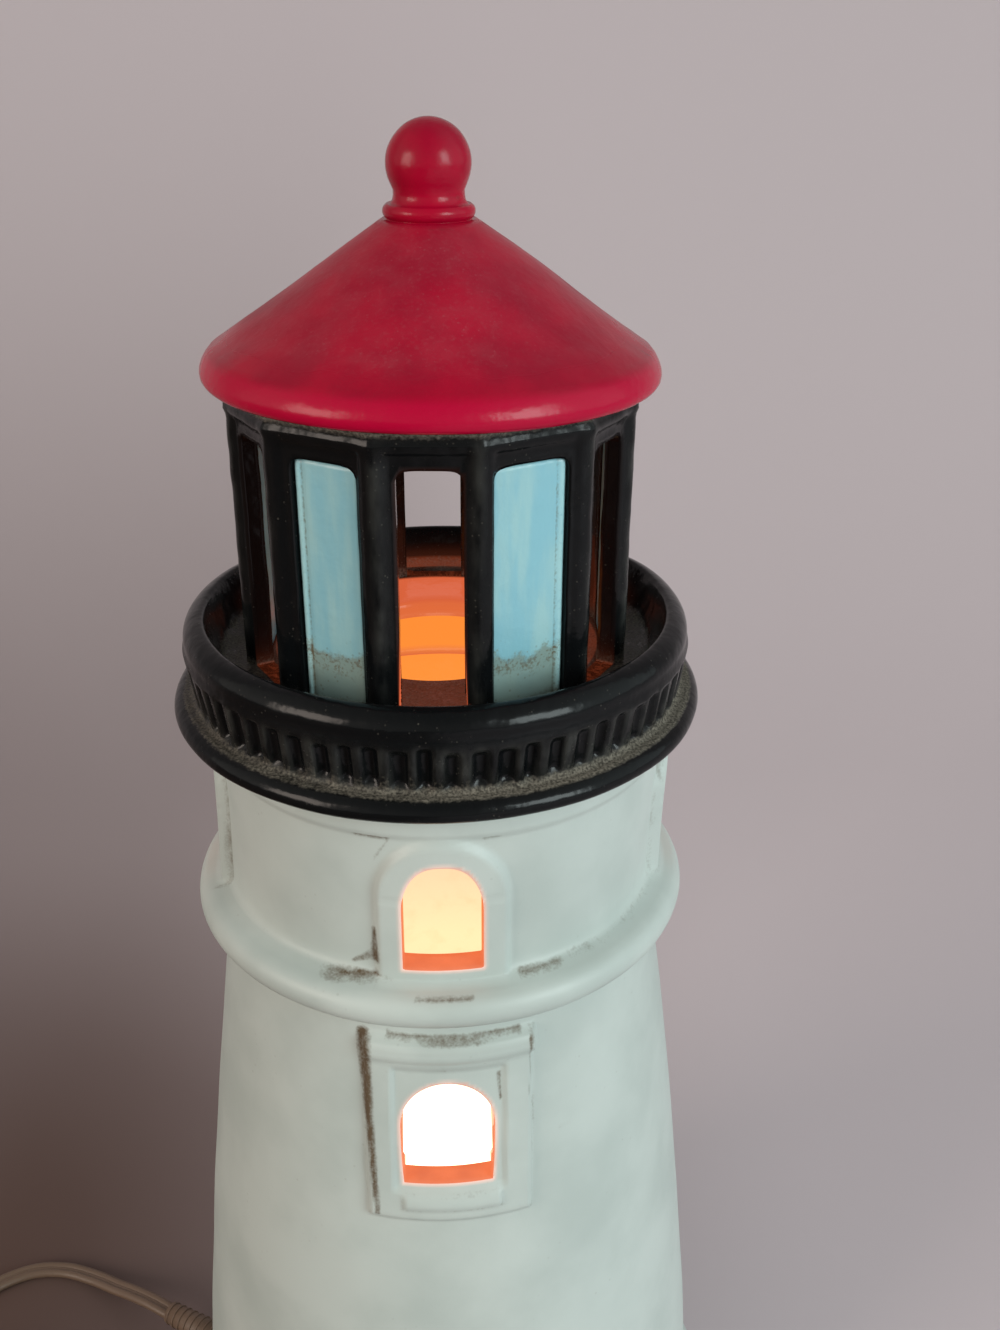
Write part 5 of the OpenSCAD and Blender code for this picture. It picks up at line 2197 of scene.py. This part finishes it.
class Weave(Nodes):
    """A Geometry Nodes tree with named inputs for its sizes, in millimetres."""

    def __init__(self, name: str) -> None:
        """Start a tree with its geometry sockets.

        Args:
            name: what the tree and its piece are called.
        """
        super().__init__(bpy.data.node_groups.new(name, "GeometryNodeTree"))
        self.name = name
        for side in ("INPUT", "OUTPUT"):
            self.tree.interface.new_socket("Geometry", in_out=side, socket_type="NodeSocketGeometry")
        self.source = self.tree.nodes.new("NodeGroupInput")
        self.values: dict[str, float] = {}

    def start(self) -> Term:
        """The geometry that the tree starts from."""
        return Term(self.tree, self.source.outputs[0])

    def size(self, name: str, value: float) -> Term:
        """Add a named input.

        Args:
            name: what it is called on the modifier.
            value: its value for the piece that is being made.

        Returns:
            The input, for use in the tree.
        """
        kind = "NodeSocketInt" if isinstance(value, int) else "NodeSocketFloat"
        socket = self.tree.interface.new_socket(name, in_out="INPUT", socket_type=kind)
        self.values[socket.identifier] = value
        return Term(self.tree, self.source.outputs[name])

    def sizes(self, **values: float) -> list[Term]:
        """Add named inputs, with underscores for the spaces in their names."""
        return [self.size(name.replace("_", " "), value) for name, value in values.items()]

    def geo(self, kind: str, settings: dict[str, Any] | None = None, **values: Any) -> Term:
        """Add a geometry node whose inputs are named with underscores for spaces."""
        named = {key.replace("_", " "): value for key, value in values.items()}
        return self.add(f"GeometryNode{kind}", settings, named)

    def circle(self, steps: int, radius: Any) -> Term:
        """Round curve."""
        return self.geo("CurvePrimitiveCircle", Resolution=steps, Radius=radius)

    def oblong(self, width: Any, height: Any) -> Term:
        """Curve with four corners."""
        return self.geo("CurvePrimitiveQuadrilateral", Width=width, Height=height)

    def sweep(self, path: Term, profile: Term, **values: Any) -> Term:
        """Draw a profile along a path."""
        return self.geo("CurveToMesh", Curve=path, Profile_Curve=profile, **values)

    def vector(self, x: Any = 0.0, y: Any = 0.0, z: Any = 0.0) -> Term:
        """Three numbers as one vector."""
        return self.add("ShaderNodeCombineXYZ", values={"X": x, "Y": y, "Z": z})

    def move(self, part: Term, x: Any = 0.0, y: Any = 0.0, z: Any = 0.0) -> Term:
        """Shift a part of the geometry."""
        return self.geo("Transform", Geometry=part, Translation=self.vector(x, y, z))

    def join(self, *parts: Term) -> Term:
        """Put parts together."""
        node = self.tree.nodes.new("GeometryNodeJoinGeometry")
        for part in parts:
            self.tree.links.new(part.socket, node.inputs[0])
        return Term(self.tree, node.outputs[0])

    def rod(self, radius: Any, depth: Any, foot: Any) -> Term:
        """Upright cylinder that stands at a height."""
        shape = self.geo("MeshCylinder", Vertices=40, Radius=radius, Depth=depth)
        return self.move(shape, z=depth * 0.5 + foot)

    def bake(
        self,
        result: Term,
        material: bpy.types.Material,
        points: Sequence[Point] = ((0.0, 0.0, 0.0),),
        linked: bool = False,
        turn: Matrix | None = None,
        smooth_sides: bool = True,
    ) -> bpy.types.Object:
        """End the tree, run it once and keep what it makes as a plain mesh.

        Args:
            result: the tree's geometry.
            material: the piece's material.
            points: where the tree starts, in millimetres.
            linked: whether the points are joined into a path.
            turn: where the finished piece is put.
            smooth_sides: whether it is shaded smooth.

        Returns:
            The piece, linked to the scene.
        """
        scaled = self.geo("Transform", Geometry=result, Scale=(MM, MM, MM))
        real = self.geo("RealizeInstances", Geometry=scaled)
        real = self.geo("SetShadeSmooth", Geometry=real, Shade_Smooth=smooth_sides)
        dressed = self.geo("SetMaterial", Geometry=real, Material=material)
        self.tree.links.new(dressed.socket, self.tree.nodes.new("NodeGroupOutput").inputs[0])
        start = bpy.data.meshes.new(self.name)
        edges = [(i, i + 1) for i in range(len(points) - 1)] if linked else []
        start.from_pydata([tuple(point) for point in points], edges, [])
        piece = bpy.data.objects.new(self.name, start)
        bpy.context.scene.collection.objects.link(piece)
        modifier = piece.modifiers.new(self.name, "NODES")
        modifier.node_group = self.tree
        for identifier, value in self.values.items():
            modifier[identifier] = value
        graph = bpy.context.evaluated_depsgraph_get()
        mesh = bpy.data.meshes.new_from_object(piece.evaluated_get(graph), depsgraph=graph)
        piece.modifiers.remove(modifier)
        mesh.materials.clear()
        mesh.materials.append(material)
        mesh.polygons.foreach_set("material_index", [0] * len(mesh.polygons))
        mesh.transform(turn or Matrix.Identity(4))
        piece.data = mesh
        return piece


@dataclass(frozen=True)
class Screw:
    """Slotted screws with their heads down."""

    name: str
    places: tuple[Point, ...]
    head_r: float
    head_h: float
    shank_r: float
    length: float
    slot_w: float = 0.6
    slot_depth: float = 0.6
    seed: int = 7

    def build(self, material: bpy.types.Material) -> bpy.types.Object:
        """Set one screw at each place.

        Args:
            material: the screws' metal.

        Returns:
            All the screws as one piece.
        """
        w = Weave(self.name)
        head_r, head_h, shank_r, length = w.sizes(
            Head_radius=self.head_r, Head_height=self.head_h, Shank_radius=self.shank_r, Length=self.length
        )
        slot_w, slot_depth, seed = w.sizes(Slot_width=self.slot_w, Slot_depth=self.slot_depth, Seed=self.seed)
        disc = w.rod(head_r, head_h, 0.0)
        cutter = w.geo("MeshCube", Size=w.vector(head_r * 3.0, slot_w, slot_depth * 2.0))
        head = w.geo("MeshBoolean", {"operation": "DIFFERENCE"}, Mesh_1=disc, Mesh_2=cutter)
        shank = w.rod(shank_r, length - head_h * 0.8, head_h * 0.8)
        screw = w.join(head, shank)
        angle = w.add("FunctionNodeRandomValue", values={"Max": math.pi, "Seed": seed}, output=1)
        screws = w.geo("InstanceOnPoints", Points=w.start(), Instance=screw, Rotation=w.vector(z=angle))
        return w.bake(screws, material, self.places, smooth_sides=False)


@dataclass(frozen=True)
class Thread:
    """Rolled thin-walled thread: a sleeve with a rounded ridge wound round it."""

    name: str
    radius: float
    wall: float
    low: float
    high: float
    ridge_r: float
    floor_r: float
    pitch: float = 3.63

    def build(self, material: bpy.types.Material) -> bpy.types.Object:
        """Make the sleeve, its ridge and the ring at its foot.

        Args:
            material: the metal.

        Returns:
            The piece.
        """
        w = Weave(self.name)
        radius, wall, ridge_r, height = w.sizes(
            Radius=self.radius, Wall=self.wall, Ridge_radius=self.ridge_r, Height=self.high - self.low
        )
        pitch, foot, floor_r = w.sizes(Pitch=self.pitch, Foot=self.low, Floor_hole_radius=self.floor_r)
        winding = height - ridge_r * 2.5
        spiral = w.geo(
            "CurveSpiral",
            Resolution=40,
            Rotations=winding / pitch,
            Start_Radius=radius,
            End_Radius=radius,
            Height=winding,
        )
        ridge = w.sweep(spiral, w.circle(10, ridge_r), Fill_Caps=True)
        sleeve = w.sweep(w.circle(64, radius), w.oblong(wall, height))
        ring_w = radius - floor_r
        ring = w.sweep(w.circle(64, floor_r + ring_w * 0.5), w.oblong(ring_w, wall))
        parts = (w.move(ridge, z=ridge_r * 1.25), w.move(sleeve, z=height * 0.5), w.move(ring, z=wall * 0.5))
        return w.bake(w.move(w.join(*parts), z=foot), material)


@dataclass(frozen=True)
class Boot:
    """Ribbed taper that keeps a cord from kinking."""

    foot_r: float
    tip_r: float
    length: float
    ribs: int
    rib: float = 0.075

    def parts(self, w: Weave) -> Term:
        """Add the boot to a tree, standing on its wide end.

        Args:
            w: the tree.

        Returns:
            The taper with its ribs.
        """
        foot_r, tip_r, length, ribs, rib = w.sizes(
            Foot_radius=self.foot_r,
            Tip_radius=self.tip_r,
            Length=self.length,
            Rib_count=self.ribs,
            Rib_size=self.rib,
        )
        slim = 1.0 - rib
        taper = w.geo(
            "MeshCone", Vertices=40, Radius_Top=tip_r * slim, Radius_Bottom=foot_r * slim, Depth=length
        )
        gap = length / ribs
        places = w.geo("MeshLine", Count=ribs, Start_Location=w.vector(z=gap * 0.5), Offset=w.vector(z=gap))
        hoop = w.sweep(w.circle(40, slim), w.circle(10, rib))
        wide = foot_r + (tip_r - foot_r) * ((w.geo("InputIndex") + 0.5) / ribs)
        hoops = w.geo("InstanceOnPoints", Points=places, Instance=hoop, Scale=w.vector(wide, wide, wide))
        return w.join(taper, hoops)


# Cord, fittings and studio


# Painted shade: the pale cord's vinyl is darkened to brown as it lies in shade; the strain relief, the plug
# and the inner lead share it
SHADED_CORD_VINYL = Moulded("cord_vinyl", srgb(112, 92, 76), 0.5, 1.2, 0.05, 0.2)


@dataclass(frozen=True)
class Softbox:
    """Square lamp that looks at the middle of the piece, in metres and watts."""

    name: str
    place: Point
    size: float
    watts: float
    tint: Rgb
    target: Point = (0.0, 0.0, 0.25)

    def hang(self) -> None:
        """Put the lamp into the scene."""
        data = bpy.data.lights.new(self.name, "AREA")
        data.size = self.size
        data.energy = self.watts
        data.color = self.tint
        lamp = bpy.data.objects.new(self.name, data)
        bpy.context.scene.collection.objects.link(lamp)
        turn = (Vector(self.target) - Vector(self.place)).to_track_quat("-Z", "Y").to_matrix().to_4x4()
        lamp.matrix_world = Matrix.Translation(self.place) @ turn


@dataclass
class Studio:
    """Floor and backdrop, a soft room with a window on the right, and the camera."""

    eye: Point = (0.0, -263.7, 392.1)
    pitch: float = 25.736
    yaw: float = 3.03
    roll: float = 0.263
    focal_pixels: float = 1303.0
    long_side_pixels: float = 1330.0
    floor_colour: Rgb = srgb(207, 196, 200)
    floor_shade: Rgb = srgb(76, 48, 32)
    warm_tint: Rgb = (1.0, 0.81, 0.7)
    cool_tint: Rgb = (0.9, 1.0, 1.0)
    room_level: float = 0.36
    # The floor in metres: half its width, its back edge, the bend there and the backdrop's height
    floor_side: float = 6.0
    floor_back: float = 1.6
    bend_r: float = 1.2
    bend_steps: int = 24
    backdrop_h: float = 5.0
    lamps: tuple[Softbox, ...] = (
        Softbox("window_light", (1.34, -1.34, 0.87), 0.9, 22.5, (0.88, 1.0, 1.0)),
        Softbox("room_light", (-1.46, -0.95, 0.75), 0.8, 14.0, (1.0, 0.86, 0.76)),
    )

    def camera(self) -> None:
        """Make the camera at the photograph's viewing angle."""
        pitch, yaw, roll = (math.radians(a) for a in (self.pitch, self.yaw, self.roll))
        ahead = Vector((math.sin(yaw) * math.cos(pitch), math.cos(yaw) * math.cos(pitch), -math.sin(pitch)))
        right = Vector((math.cos(yaw), -math.sin(yaw), 0.0))
        up = right.cross(ahead)
        turned_right = math.cos(roll) * right + math.sin(roll) * up
        turned_up = -math.sin(roll) * right + math.cos(roll) * up
        data = bpy.data.cameras.new("photo_camera")
        data.sensor_width = 36.0
        data.lens = self.focal_pixels / self.long_side_pixels * data.sensor_width
        data.clip_start = 0.01
        data.clip_end = 50.0
        camera = bpy.data.objects.new("photo_camera", data)
        bpy.context.scene.collection.objects.link(camera)
        turn = Matrix((turned_right, turned_up, -ahead)).transposed()
        camera.matrix_world = Matrix.Translation(Vector(self.eye) * MM) @ turn.to_4x4()
        bpy.context.scene.camera = camera

    def floor(self) -> None:
        """Make the pale floor, which bends up into the backdrop."""
        mesh = bpy.data.meshes.new("floor")
        side, bend, foot = self.floor_side, self.bend_r, self.floor_back - self.bend_r
        turns = np.linspace(0.0, math.pi / 2, self.bend_steps)[1:]
        section = [(-side, 0.0), (foot, 0.0)]
        section += [(foot + bend * math.sin(a), bend - bend * math.cos(a)) for a in turns]
        section.append((self.floor_back, self.backdrop_h))
        points = [(x, y, z) for y, z in section for x in (-side, side)]
        faces = [(2 * i, 2 * i + 1, 2 * i + 3, 2 * i + 2) for i in range(len(section) - 1)]
        mesh.from_pydata(points, [], faces)
        mesh.polygons.foreach_set("use_smooth", [True] * len(faces))
        plane = bpy.data.objects.new("floor", mesh)
        bpy.context.scene.collection.objects.link(plane)
        g = Graph("floor_finish")
        far, near = g.axis("Y").ease(1.5, 0.2), g.axis("Y").ease(0.35, 0.05)
        shade = g.axis("X").ease(0.15, -0.17) * (far * 0.56 + near * 0.38)
        colour = g.mix(shade, self.floor_colour, self.floor_shade)
        mesh.materials.append(g.finish(Base_Color=colour, Roughness=0.9))

    def world(self) -> None:
        """Light everything softly from all round, warm from the left and cool from the right."""
        world = bpy.data.worlds.new("soft_room")
        world.use_nodes = True
        room = Nodes(world.node_tree)
        way = room.add("ShaderNodeTexCoord", output="Generated")
        side = room.add("ShaderNodeSeparateXYZ", values={0: way}, output="X")
        up = room.add("ShaderNodeSeparateXYZ", values={0: way}, output="Z").ease(0.1, 0.9)
        right, left = side.ease(-0.1, 0.95), side.ease(0.1, -0.95)
        tint = room.mix(right * 0.5 + 0.5, self.warm_tint, self.cool_tint)
        back = room.tree.nodes["Background"]
        connect(room.tree, back.inputs["Color"], tint)
        connect(room.tree, back.inputs["Strength"], self.room_level + right * 0.6 + left * 0.4 - up * 0.18)
        bpy.context.scene.world = world

    def build(self) -> None:
        """Make the whole studio."""
        self.camera()
        self.floor()
        self.world()
        for lamp in self.lamps:
            lamp.hang()
        bpy.context.scene.view_settings.view_transform = "Standard"
        LOG.info("studio made")


@dataclass
class MainsCord:
    """Flat twin cord from the plinth through the switch and the coil to the plug."""

    width: float = 5.6
    thickness: float = 2.8
    plinth_r: float = 78.0
    exit_angle: float = 160.0
    exit_heading: float = 148.0
    exit_z: float = 9.0
    snout: float = 23.0
    switch_x: float = -178.0
    switch_y: float = 14.0
    switch_length: float = 60.0
    switch_cord_z: float = 7.0
    coil_outer_r: float = 37.5
    coil_pitch: float = 6.2
    coil_turns: float = 7.5
    coil_layers: int = 4
    coil_layer_h: float = 3.35
    coil_low_z: float = 1.9
    coil_y: float = -78.0
    coil_steps: int = 36
    lead_in: float = 6.0
    plug_y: float = -24.0
    plug_z: float = 6.0
    sample: float = 2.4

    def exit_point(self) -> np.ndarray:
        """Point where the cord leaves the plinth."""
        a = math.radians(self.exit_angle)
        return np.array((self.plinth_r * math.cos(a), self.plinth_r * math.sin(a), self.exit_z))

    def exit_dir(self) -> np.ndarray:
        """Level direction in which the cord leaves."""
        a = math.radians(self.exit_heading)
        return np.array((math.cos(a), math.sin(a), 0.0))

    def coil_r(self, turn: float) -> float:
        """Distance of the coil's cord from the coil's middle, in and out again.

        Args:
            turn: turns from the coil's start.

        Returns:
            The distance.
        """
        per_layer = self.coil_turns / self.coil_layers
        layer = math.floor(min(turn, self.coil_turns - 0.001) / per_layer)
        done = turn - layer * per_layer
        inward = done if layer % 2 == 0 else per_layer - done
        return self.coil_outer_r - self.coil_pitch * inward

    def coil_z(self, turn: float) -> float:
        """Height of the coil's cord, one layer up each time the spiral reverses.

        Args:
            turn: turns from the coil's start.

        Returns:
            The height.
        """
        per_layer = self.coil_turns / self.coil_layers
        climbed = sum(
            min(1.0, max(0.0, (turn - k * per_layer) / 0.5 + 0.5)) for k in range(1, self.coil_layers)
        )
        return self.coil_low_z + self.coil_layer_h * climbed

    def route(self) -> np.ndarray:
        """The whole route's guide points, in millimetres.

        Returns:
            One row per point, from the plinth to the plug.
        """
        start, ahead = self.exit_point(), self.exit_dir()
        rest, x = self.thickness / 2 + 0.06, self.switch_x
        coil_x = x - self.coil_outer_r
        tail_x = x - 2 * self.coil_outer_r
        high_z = self.coil_z(self.coil_turns)
        lead = [
            start,
            start + 8 * ahead,
            start + 16 * ahead,
            start + self.snout * ahead,
            start + (self.snout + 7) * ahead,
            (-106, 47.5, 7.4),
            (-114, 53, 4.6),
            (-123, 59, 2.2),
            (-135, 63.5, rest),
            (-145, 63.5, rest),
            (-154, 60, rest),
            (-162, 54, rest),
            (-169, 46.5, rest),
            (-174, 38, 1.9),
            (-177, 29, 3.8),
            (x, 21, 6),
            (x, self.switch_y, self.switch_cord_z),
            (x, self.switch_y - 30, self.switch_cord_z),
            (x, self.switch_y - self.switch_length, self.switch_cord_z),
            (x, -53, 5.8),
            (x, -60, 3.2),
            (x, -66, self.coil_low_z),
        ]
        steps = int(self.coil_turns * self.coil_steps)
        coil = []
        for i in range(steps + 1):
            turn = i / self.coil_steps
            a = -2 * math.pi * turn
            r = self.coil_r(turn)
            coil.append((coil_x + r * math.cos(a), self.coil_y + r * math.sin(a), self.coil_z(turn)))
        tail = [
            (tail_x, self.coil_y + self.lead_in, high_z),
            (tail_x, -66, high_z),
            (tail_x, -58, 10.8),
            (tail_x, -49, 8.4),
            (tail_x, -40, 6.6),
            (tail_x, -32, self.plug_z),
            (tail_x, self.plug_y, self.plug_z),
        ]
        return np.array([*map(tuple, lead), *coil, *tail], dtype=float)

    def centreline(self) -> np.ndarray:
        """Smooth curve through the route.

        Returns:
            Points about one sample apart, in millimetres.
        """
        guide = self.route()
        padded = np.vstack([2 * guide[0] - guide[1], guide, 2 * guide[-1] - guide[-2]])
        line = [guide[0]]
        for p0, p1, p2, p3 in zip(padded, padded[1:], padded[2:], padded[3:]):
            gap = np.linalg.norm(p2 - p1)
            count = max(1, round(gap / self.sample))
            before, after = np.linalg.norm(p1 - p0), np.linalg.norm(p3 - p2)
            m1 = (p2 - p1) + gap * ((p1 - p0) / before - (p2 - p0) / (before + gap))
            m2 = (p2 - p1) + gap * ((p3 - p2) / after - (p3 - p1) / (gap + after))
            for i in range(1, count + 1):
                t = i / count
                line.append(
                    (2 * t**3 - 3 * t**2 + 1) * p1
                    + (t**3 - 2 * t**2 + t) * m1
                    + (-2 * t**3 + 3 * t**2) * p2
                    + (t**3 - t**2) * m2
                )
        return np.array(line)

    def build(self, palette: Palette) -> bpy.types.Object:
        """Args:
            palette: the shared materials.

        Returns:
            The cord.
        """
        line = self.centreline()
        w = Weave("mains_cord")
        wide, thick = w.sizes(Width=self.width, Thickness=self.thickness)
        half = w.circle(12, thick * 0.5)
        core = (wide - thick) * 0.5
        cores = w.join(w.move(half, x=core), w.move(half, x=core * -1.0))
        web = w.oblong(core * 2.0, thick * 0.7)
        route = w.geo("SetCurveNormal", {"mode": "Z_UP"}, Curve=w.geo("MeshToCurve", Mesh=w.start()))
        sheath = w.sweep(route, w.join(cores, web), Fill_Caps=True)
        cord = w.bake(sheath, palette.get(SHADED_CORD_VINYL), [tuple(point) for point in line], linked=True)
        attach(cord, "base")
        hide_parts("cord_lead", "cord_link", "cord_coil", "cord_tail")
        return cord


@dataclass
class CordEnds:
    """Strain relief at the plinth and the two-pin plug."""

    palette: Palette
    cord: MainsCord
    relief_r: float = 5.1
    relief_inset: float = 10.0
    collar_h: float = 1.5
    collar_stand: float = 1.0
    snout_length: float = 22.0
    plug_w: float = 22.0
    plug_h: float = 11.0
    plug_l: float = 26.0
    plug_round: float = 2.4
    boot_l: float = 12.0

    def strain_relief(self) -> bpy.types.Object:
        """Make the bushing, its collar and the ribbed boot.

        Returns:
            The piece.
        """
        w = Weave("strain_relief_boot")
        stand, bush_r, inset, collar_r, collar_h = w.sizes(
            Collar_stand=self.collar_stand,
            Bush_radius=self.relief_r,
            Inset=self.relief_inset,
            Collar_radius=self.relief_r + 1.4,
            Collar_height=self.collar_h,
        )
        bush = w.rod(bush_r, inset, -self.relief_inset)
        collar = w.rod(collar_r, collar_h, stand - self.collar_h)
        boot = w.move(Boot(4.8, 3.6, self.snout_length, 9).parts(w), z=stand)
        ahead = Vector(self.cord.exit_dir()).to_track_quat("Z", "Y").to_matrix().to_4x4()
        turn = Matrix.Translation(Vector(self.cord.exit_point()) * MM) @ ahead
        piece = w.bake(w.join(bush, collar, boot), self.palette.get(SHADED_CORD_VINYL), turn=turn)
        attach(piece, "base")
        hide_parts("strain_relief")
        return piece

    def plug(self) -> bpy.types.Object:
        """Make the plug's rounded body, narrow at its heel, and its ribbed boot.

        Returns:
            The piece.
        """
        w = Weave("plug_moulding")
        wide, tall, long, boot_l, rounding = w.sizes(
            Width=self.plug_w,
            Depth=self.plug_h,
            Body_length=self.plug_l,
            Boot_length=self.boot_l,
            Rounding=self.plug_round,
        )
        block = w.oblong(wide, tall)
        rounded = w.geo("FilletCurve", {"mode": "POLY"}, Curve=block, Radius=rounding, Count=6)
        spine = w.geo("CurvePrimitiveLine", End=w.vector(z=long))
        spine = w.geo("ResampleCurve", Curve=spine, Count=40)
        along = w.geo("SplineParameter")
        narrow = 0.6 + 0.4 * along.ease(0.0, 0.36) - 0.08 * along.ease(0.95, 1.0)
        body = w.sweep(spine, rounded, Scale=narrow, Fill_Caps=True)
        boot = w.geo("Transform", Geometry=Boot(4.9, 3.8, self.boot_l, 5).parts(w), Scale=(1.0, 1.0, -1.0))
        boot = w.move(boot, z=boot_l)
        x = self.cord.switch_x - 2 * self.cord.coil_outer_r
        place = Vector((x, self.cord.plug_y, self.cord.plug_z)) * MM
        turn = Matrix.Translation(place) @ Matrix.Rotation(-math.pi / 2, 4, "X")
        piece = w.bake(w.join(w.move(body, z=boot_l), boot), self.palette.get(SHADED_CORD_VINYL), turn=turn)
        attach(piece, "base")
        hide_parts("plug_body")
        return piece


@dataclass
class Hardware:
    """Screws of the switch and the socket, and the lamp's threads."""

    palette: Palette
    switch_middle: Place = (-178.0, -16.0)
    screw_place: Place = (8.0, 22.0)
    terminal_x: float = 10.5
    terminal_z: float = 52.5

    def build(self) -> None:
        x, y = self.switch_middle
        across, along = self.screw_place
        switch_places = tuple((x + end * across, y + end * along, 1.0) for end in (-1.0, 1.0))
        terminals = tuple((end * self.terminal_x, 0.0, self.terminal_z) for end in (-1.0, 1.0))
        switch = Screw("switch_screw_set", switch_places, 2.6, 1.6, 1.3, 11.0)
        terminal = Screw("terminal_screw_set", terminals, 3.0, 1.5, 1.8, 4.0, slot_depth=0.5)
        shell = Thread("socket_thread", 13.7, 0.6, 61.0, 92.0, 0.5, 9.0)
        base = Thread("bulb_thread", 12.4, 0.6, 67.0, 92.8, 0.55, 9.0)
        made = (
            (switch, Metal.ZINC, "switch_screws", "base", "plated_steel"),
            (terminal, Metal.ZINC, "terminal_screws", "base", "plated_steel"),
            (shell, Metal.BRASS, "screw_shell", "base", "brass"),
            (base, Metal.ALUMINIUM, "bulb_base", "bulb", "bulb_aluminium"),
        )
        for part, metal, node, body, slot in made:
            piece = part.build(self.palette.get(MetalFinish(metal)))
            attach(piece, body)
            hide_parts(node)
        LOG.info("%d hardware pieces made", len(made))


@dataclass
class Fittings:
    """CAD nodes that keep their shape and get a finish."""

    palette: Palette

    def finishes(self) -> dict[str, Finish]:
        """Finish of each CAD node that stays.

        Returns:
            Finishes by node name.
        """
        zinc, brass = MetalFinish(Metal.ZINC), MetalFinish(Metal.BRASS)
        aluminium = MetalFinish(Metal.ALUMINIUM)
        # Painted shade: the pale switch plastic is darkened to match the shaded cord
        shaded_ivory = Moulded("switch_plastic", srgb(108, 90, 74), 0.42, 0.7, 0.04, 0.25)
        return {
            "felt_base": Felt(),
            "clamp_plate_lower": zinc,
            "clamp_plate_upper": zinc,
            "nipple": zinc,
            "lock_washer": zinc,
            "hex_nut_lower": brass,
            "hex_nut_upper": brass,
            "socket_cap": brass,
            "socket_shell": brass,
            "socket_sleeve": Moulded("fibre", (0.45, 0.33, 0.2), 0.85, 0.5, 0.1, 0.4),
            "socket_body": Moulded("phenolic", (0.03, 0.028, 0.026), 0.35, 0.8, 0.04),
            "centre_contact": brass,
            "socket_leads": MetalFinish(Metal.COPPER),
            "bulb_glass": LitGlass(),
            "bulb_insulator": ClearGlass("black_glass", (0.01, 0.01, 0.015), 0.0),
            "bulb_contact": aluminium,
            "bulb_stem": ClearGlass("stem_glass", (0.9, 0.92, 0.9), 0.9),
            "bulb_filament": HotWire(),
            "inner_cord": SHADED_CORD_VINYL,
            "switch_base": shaded_ivory,
            "switch_cover": shaded_ivory,
            "switch_rocker": shaded_ivory,
            "switch_contacts": brass,
            "cord_tie": Moulded("tie_vinyl", (0.05, 0.05, 0.05), 0.6, 0.5, 0.08),
            "plug_blades": brass,
        }

    def build(self, nodes: dict[str, bpy.types.Object]) -> None:
        """Give every kept node its finish.

        Args:
            nodes: the frame's nodes by name.
        """
        for name, finish in self.finishes().items():
            mesh = nodes[name].data
            mesh.materials.clear()
            mesh.materials.append(self.palette.get(finish))
        LOG.info("finished %d CAD nodes", len(self.finishes()))


def main() -> None:
    """Build the scene, piece by piece."""
    logging.basicConfig(level=logging.INFO, format="%(name)s: %(message)s")
    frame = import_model()
    palette = Palette()
    Studio().build()
    cord = MainsCord()
    cord.build(palette)
    ends = CordEnds(palette, cord)
    ends.strain_relief()
    ends.plug()
    Hardware(palette).build()
    Tower(palette).build()
    lantern = Lantern(palette)
    lantern.build()
    Panes(palette, lantern).build()
    Roof(palette).build()
    Fittings(palette).build(frame["nodes"])


if __name__ == "__main__":
    main()
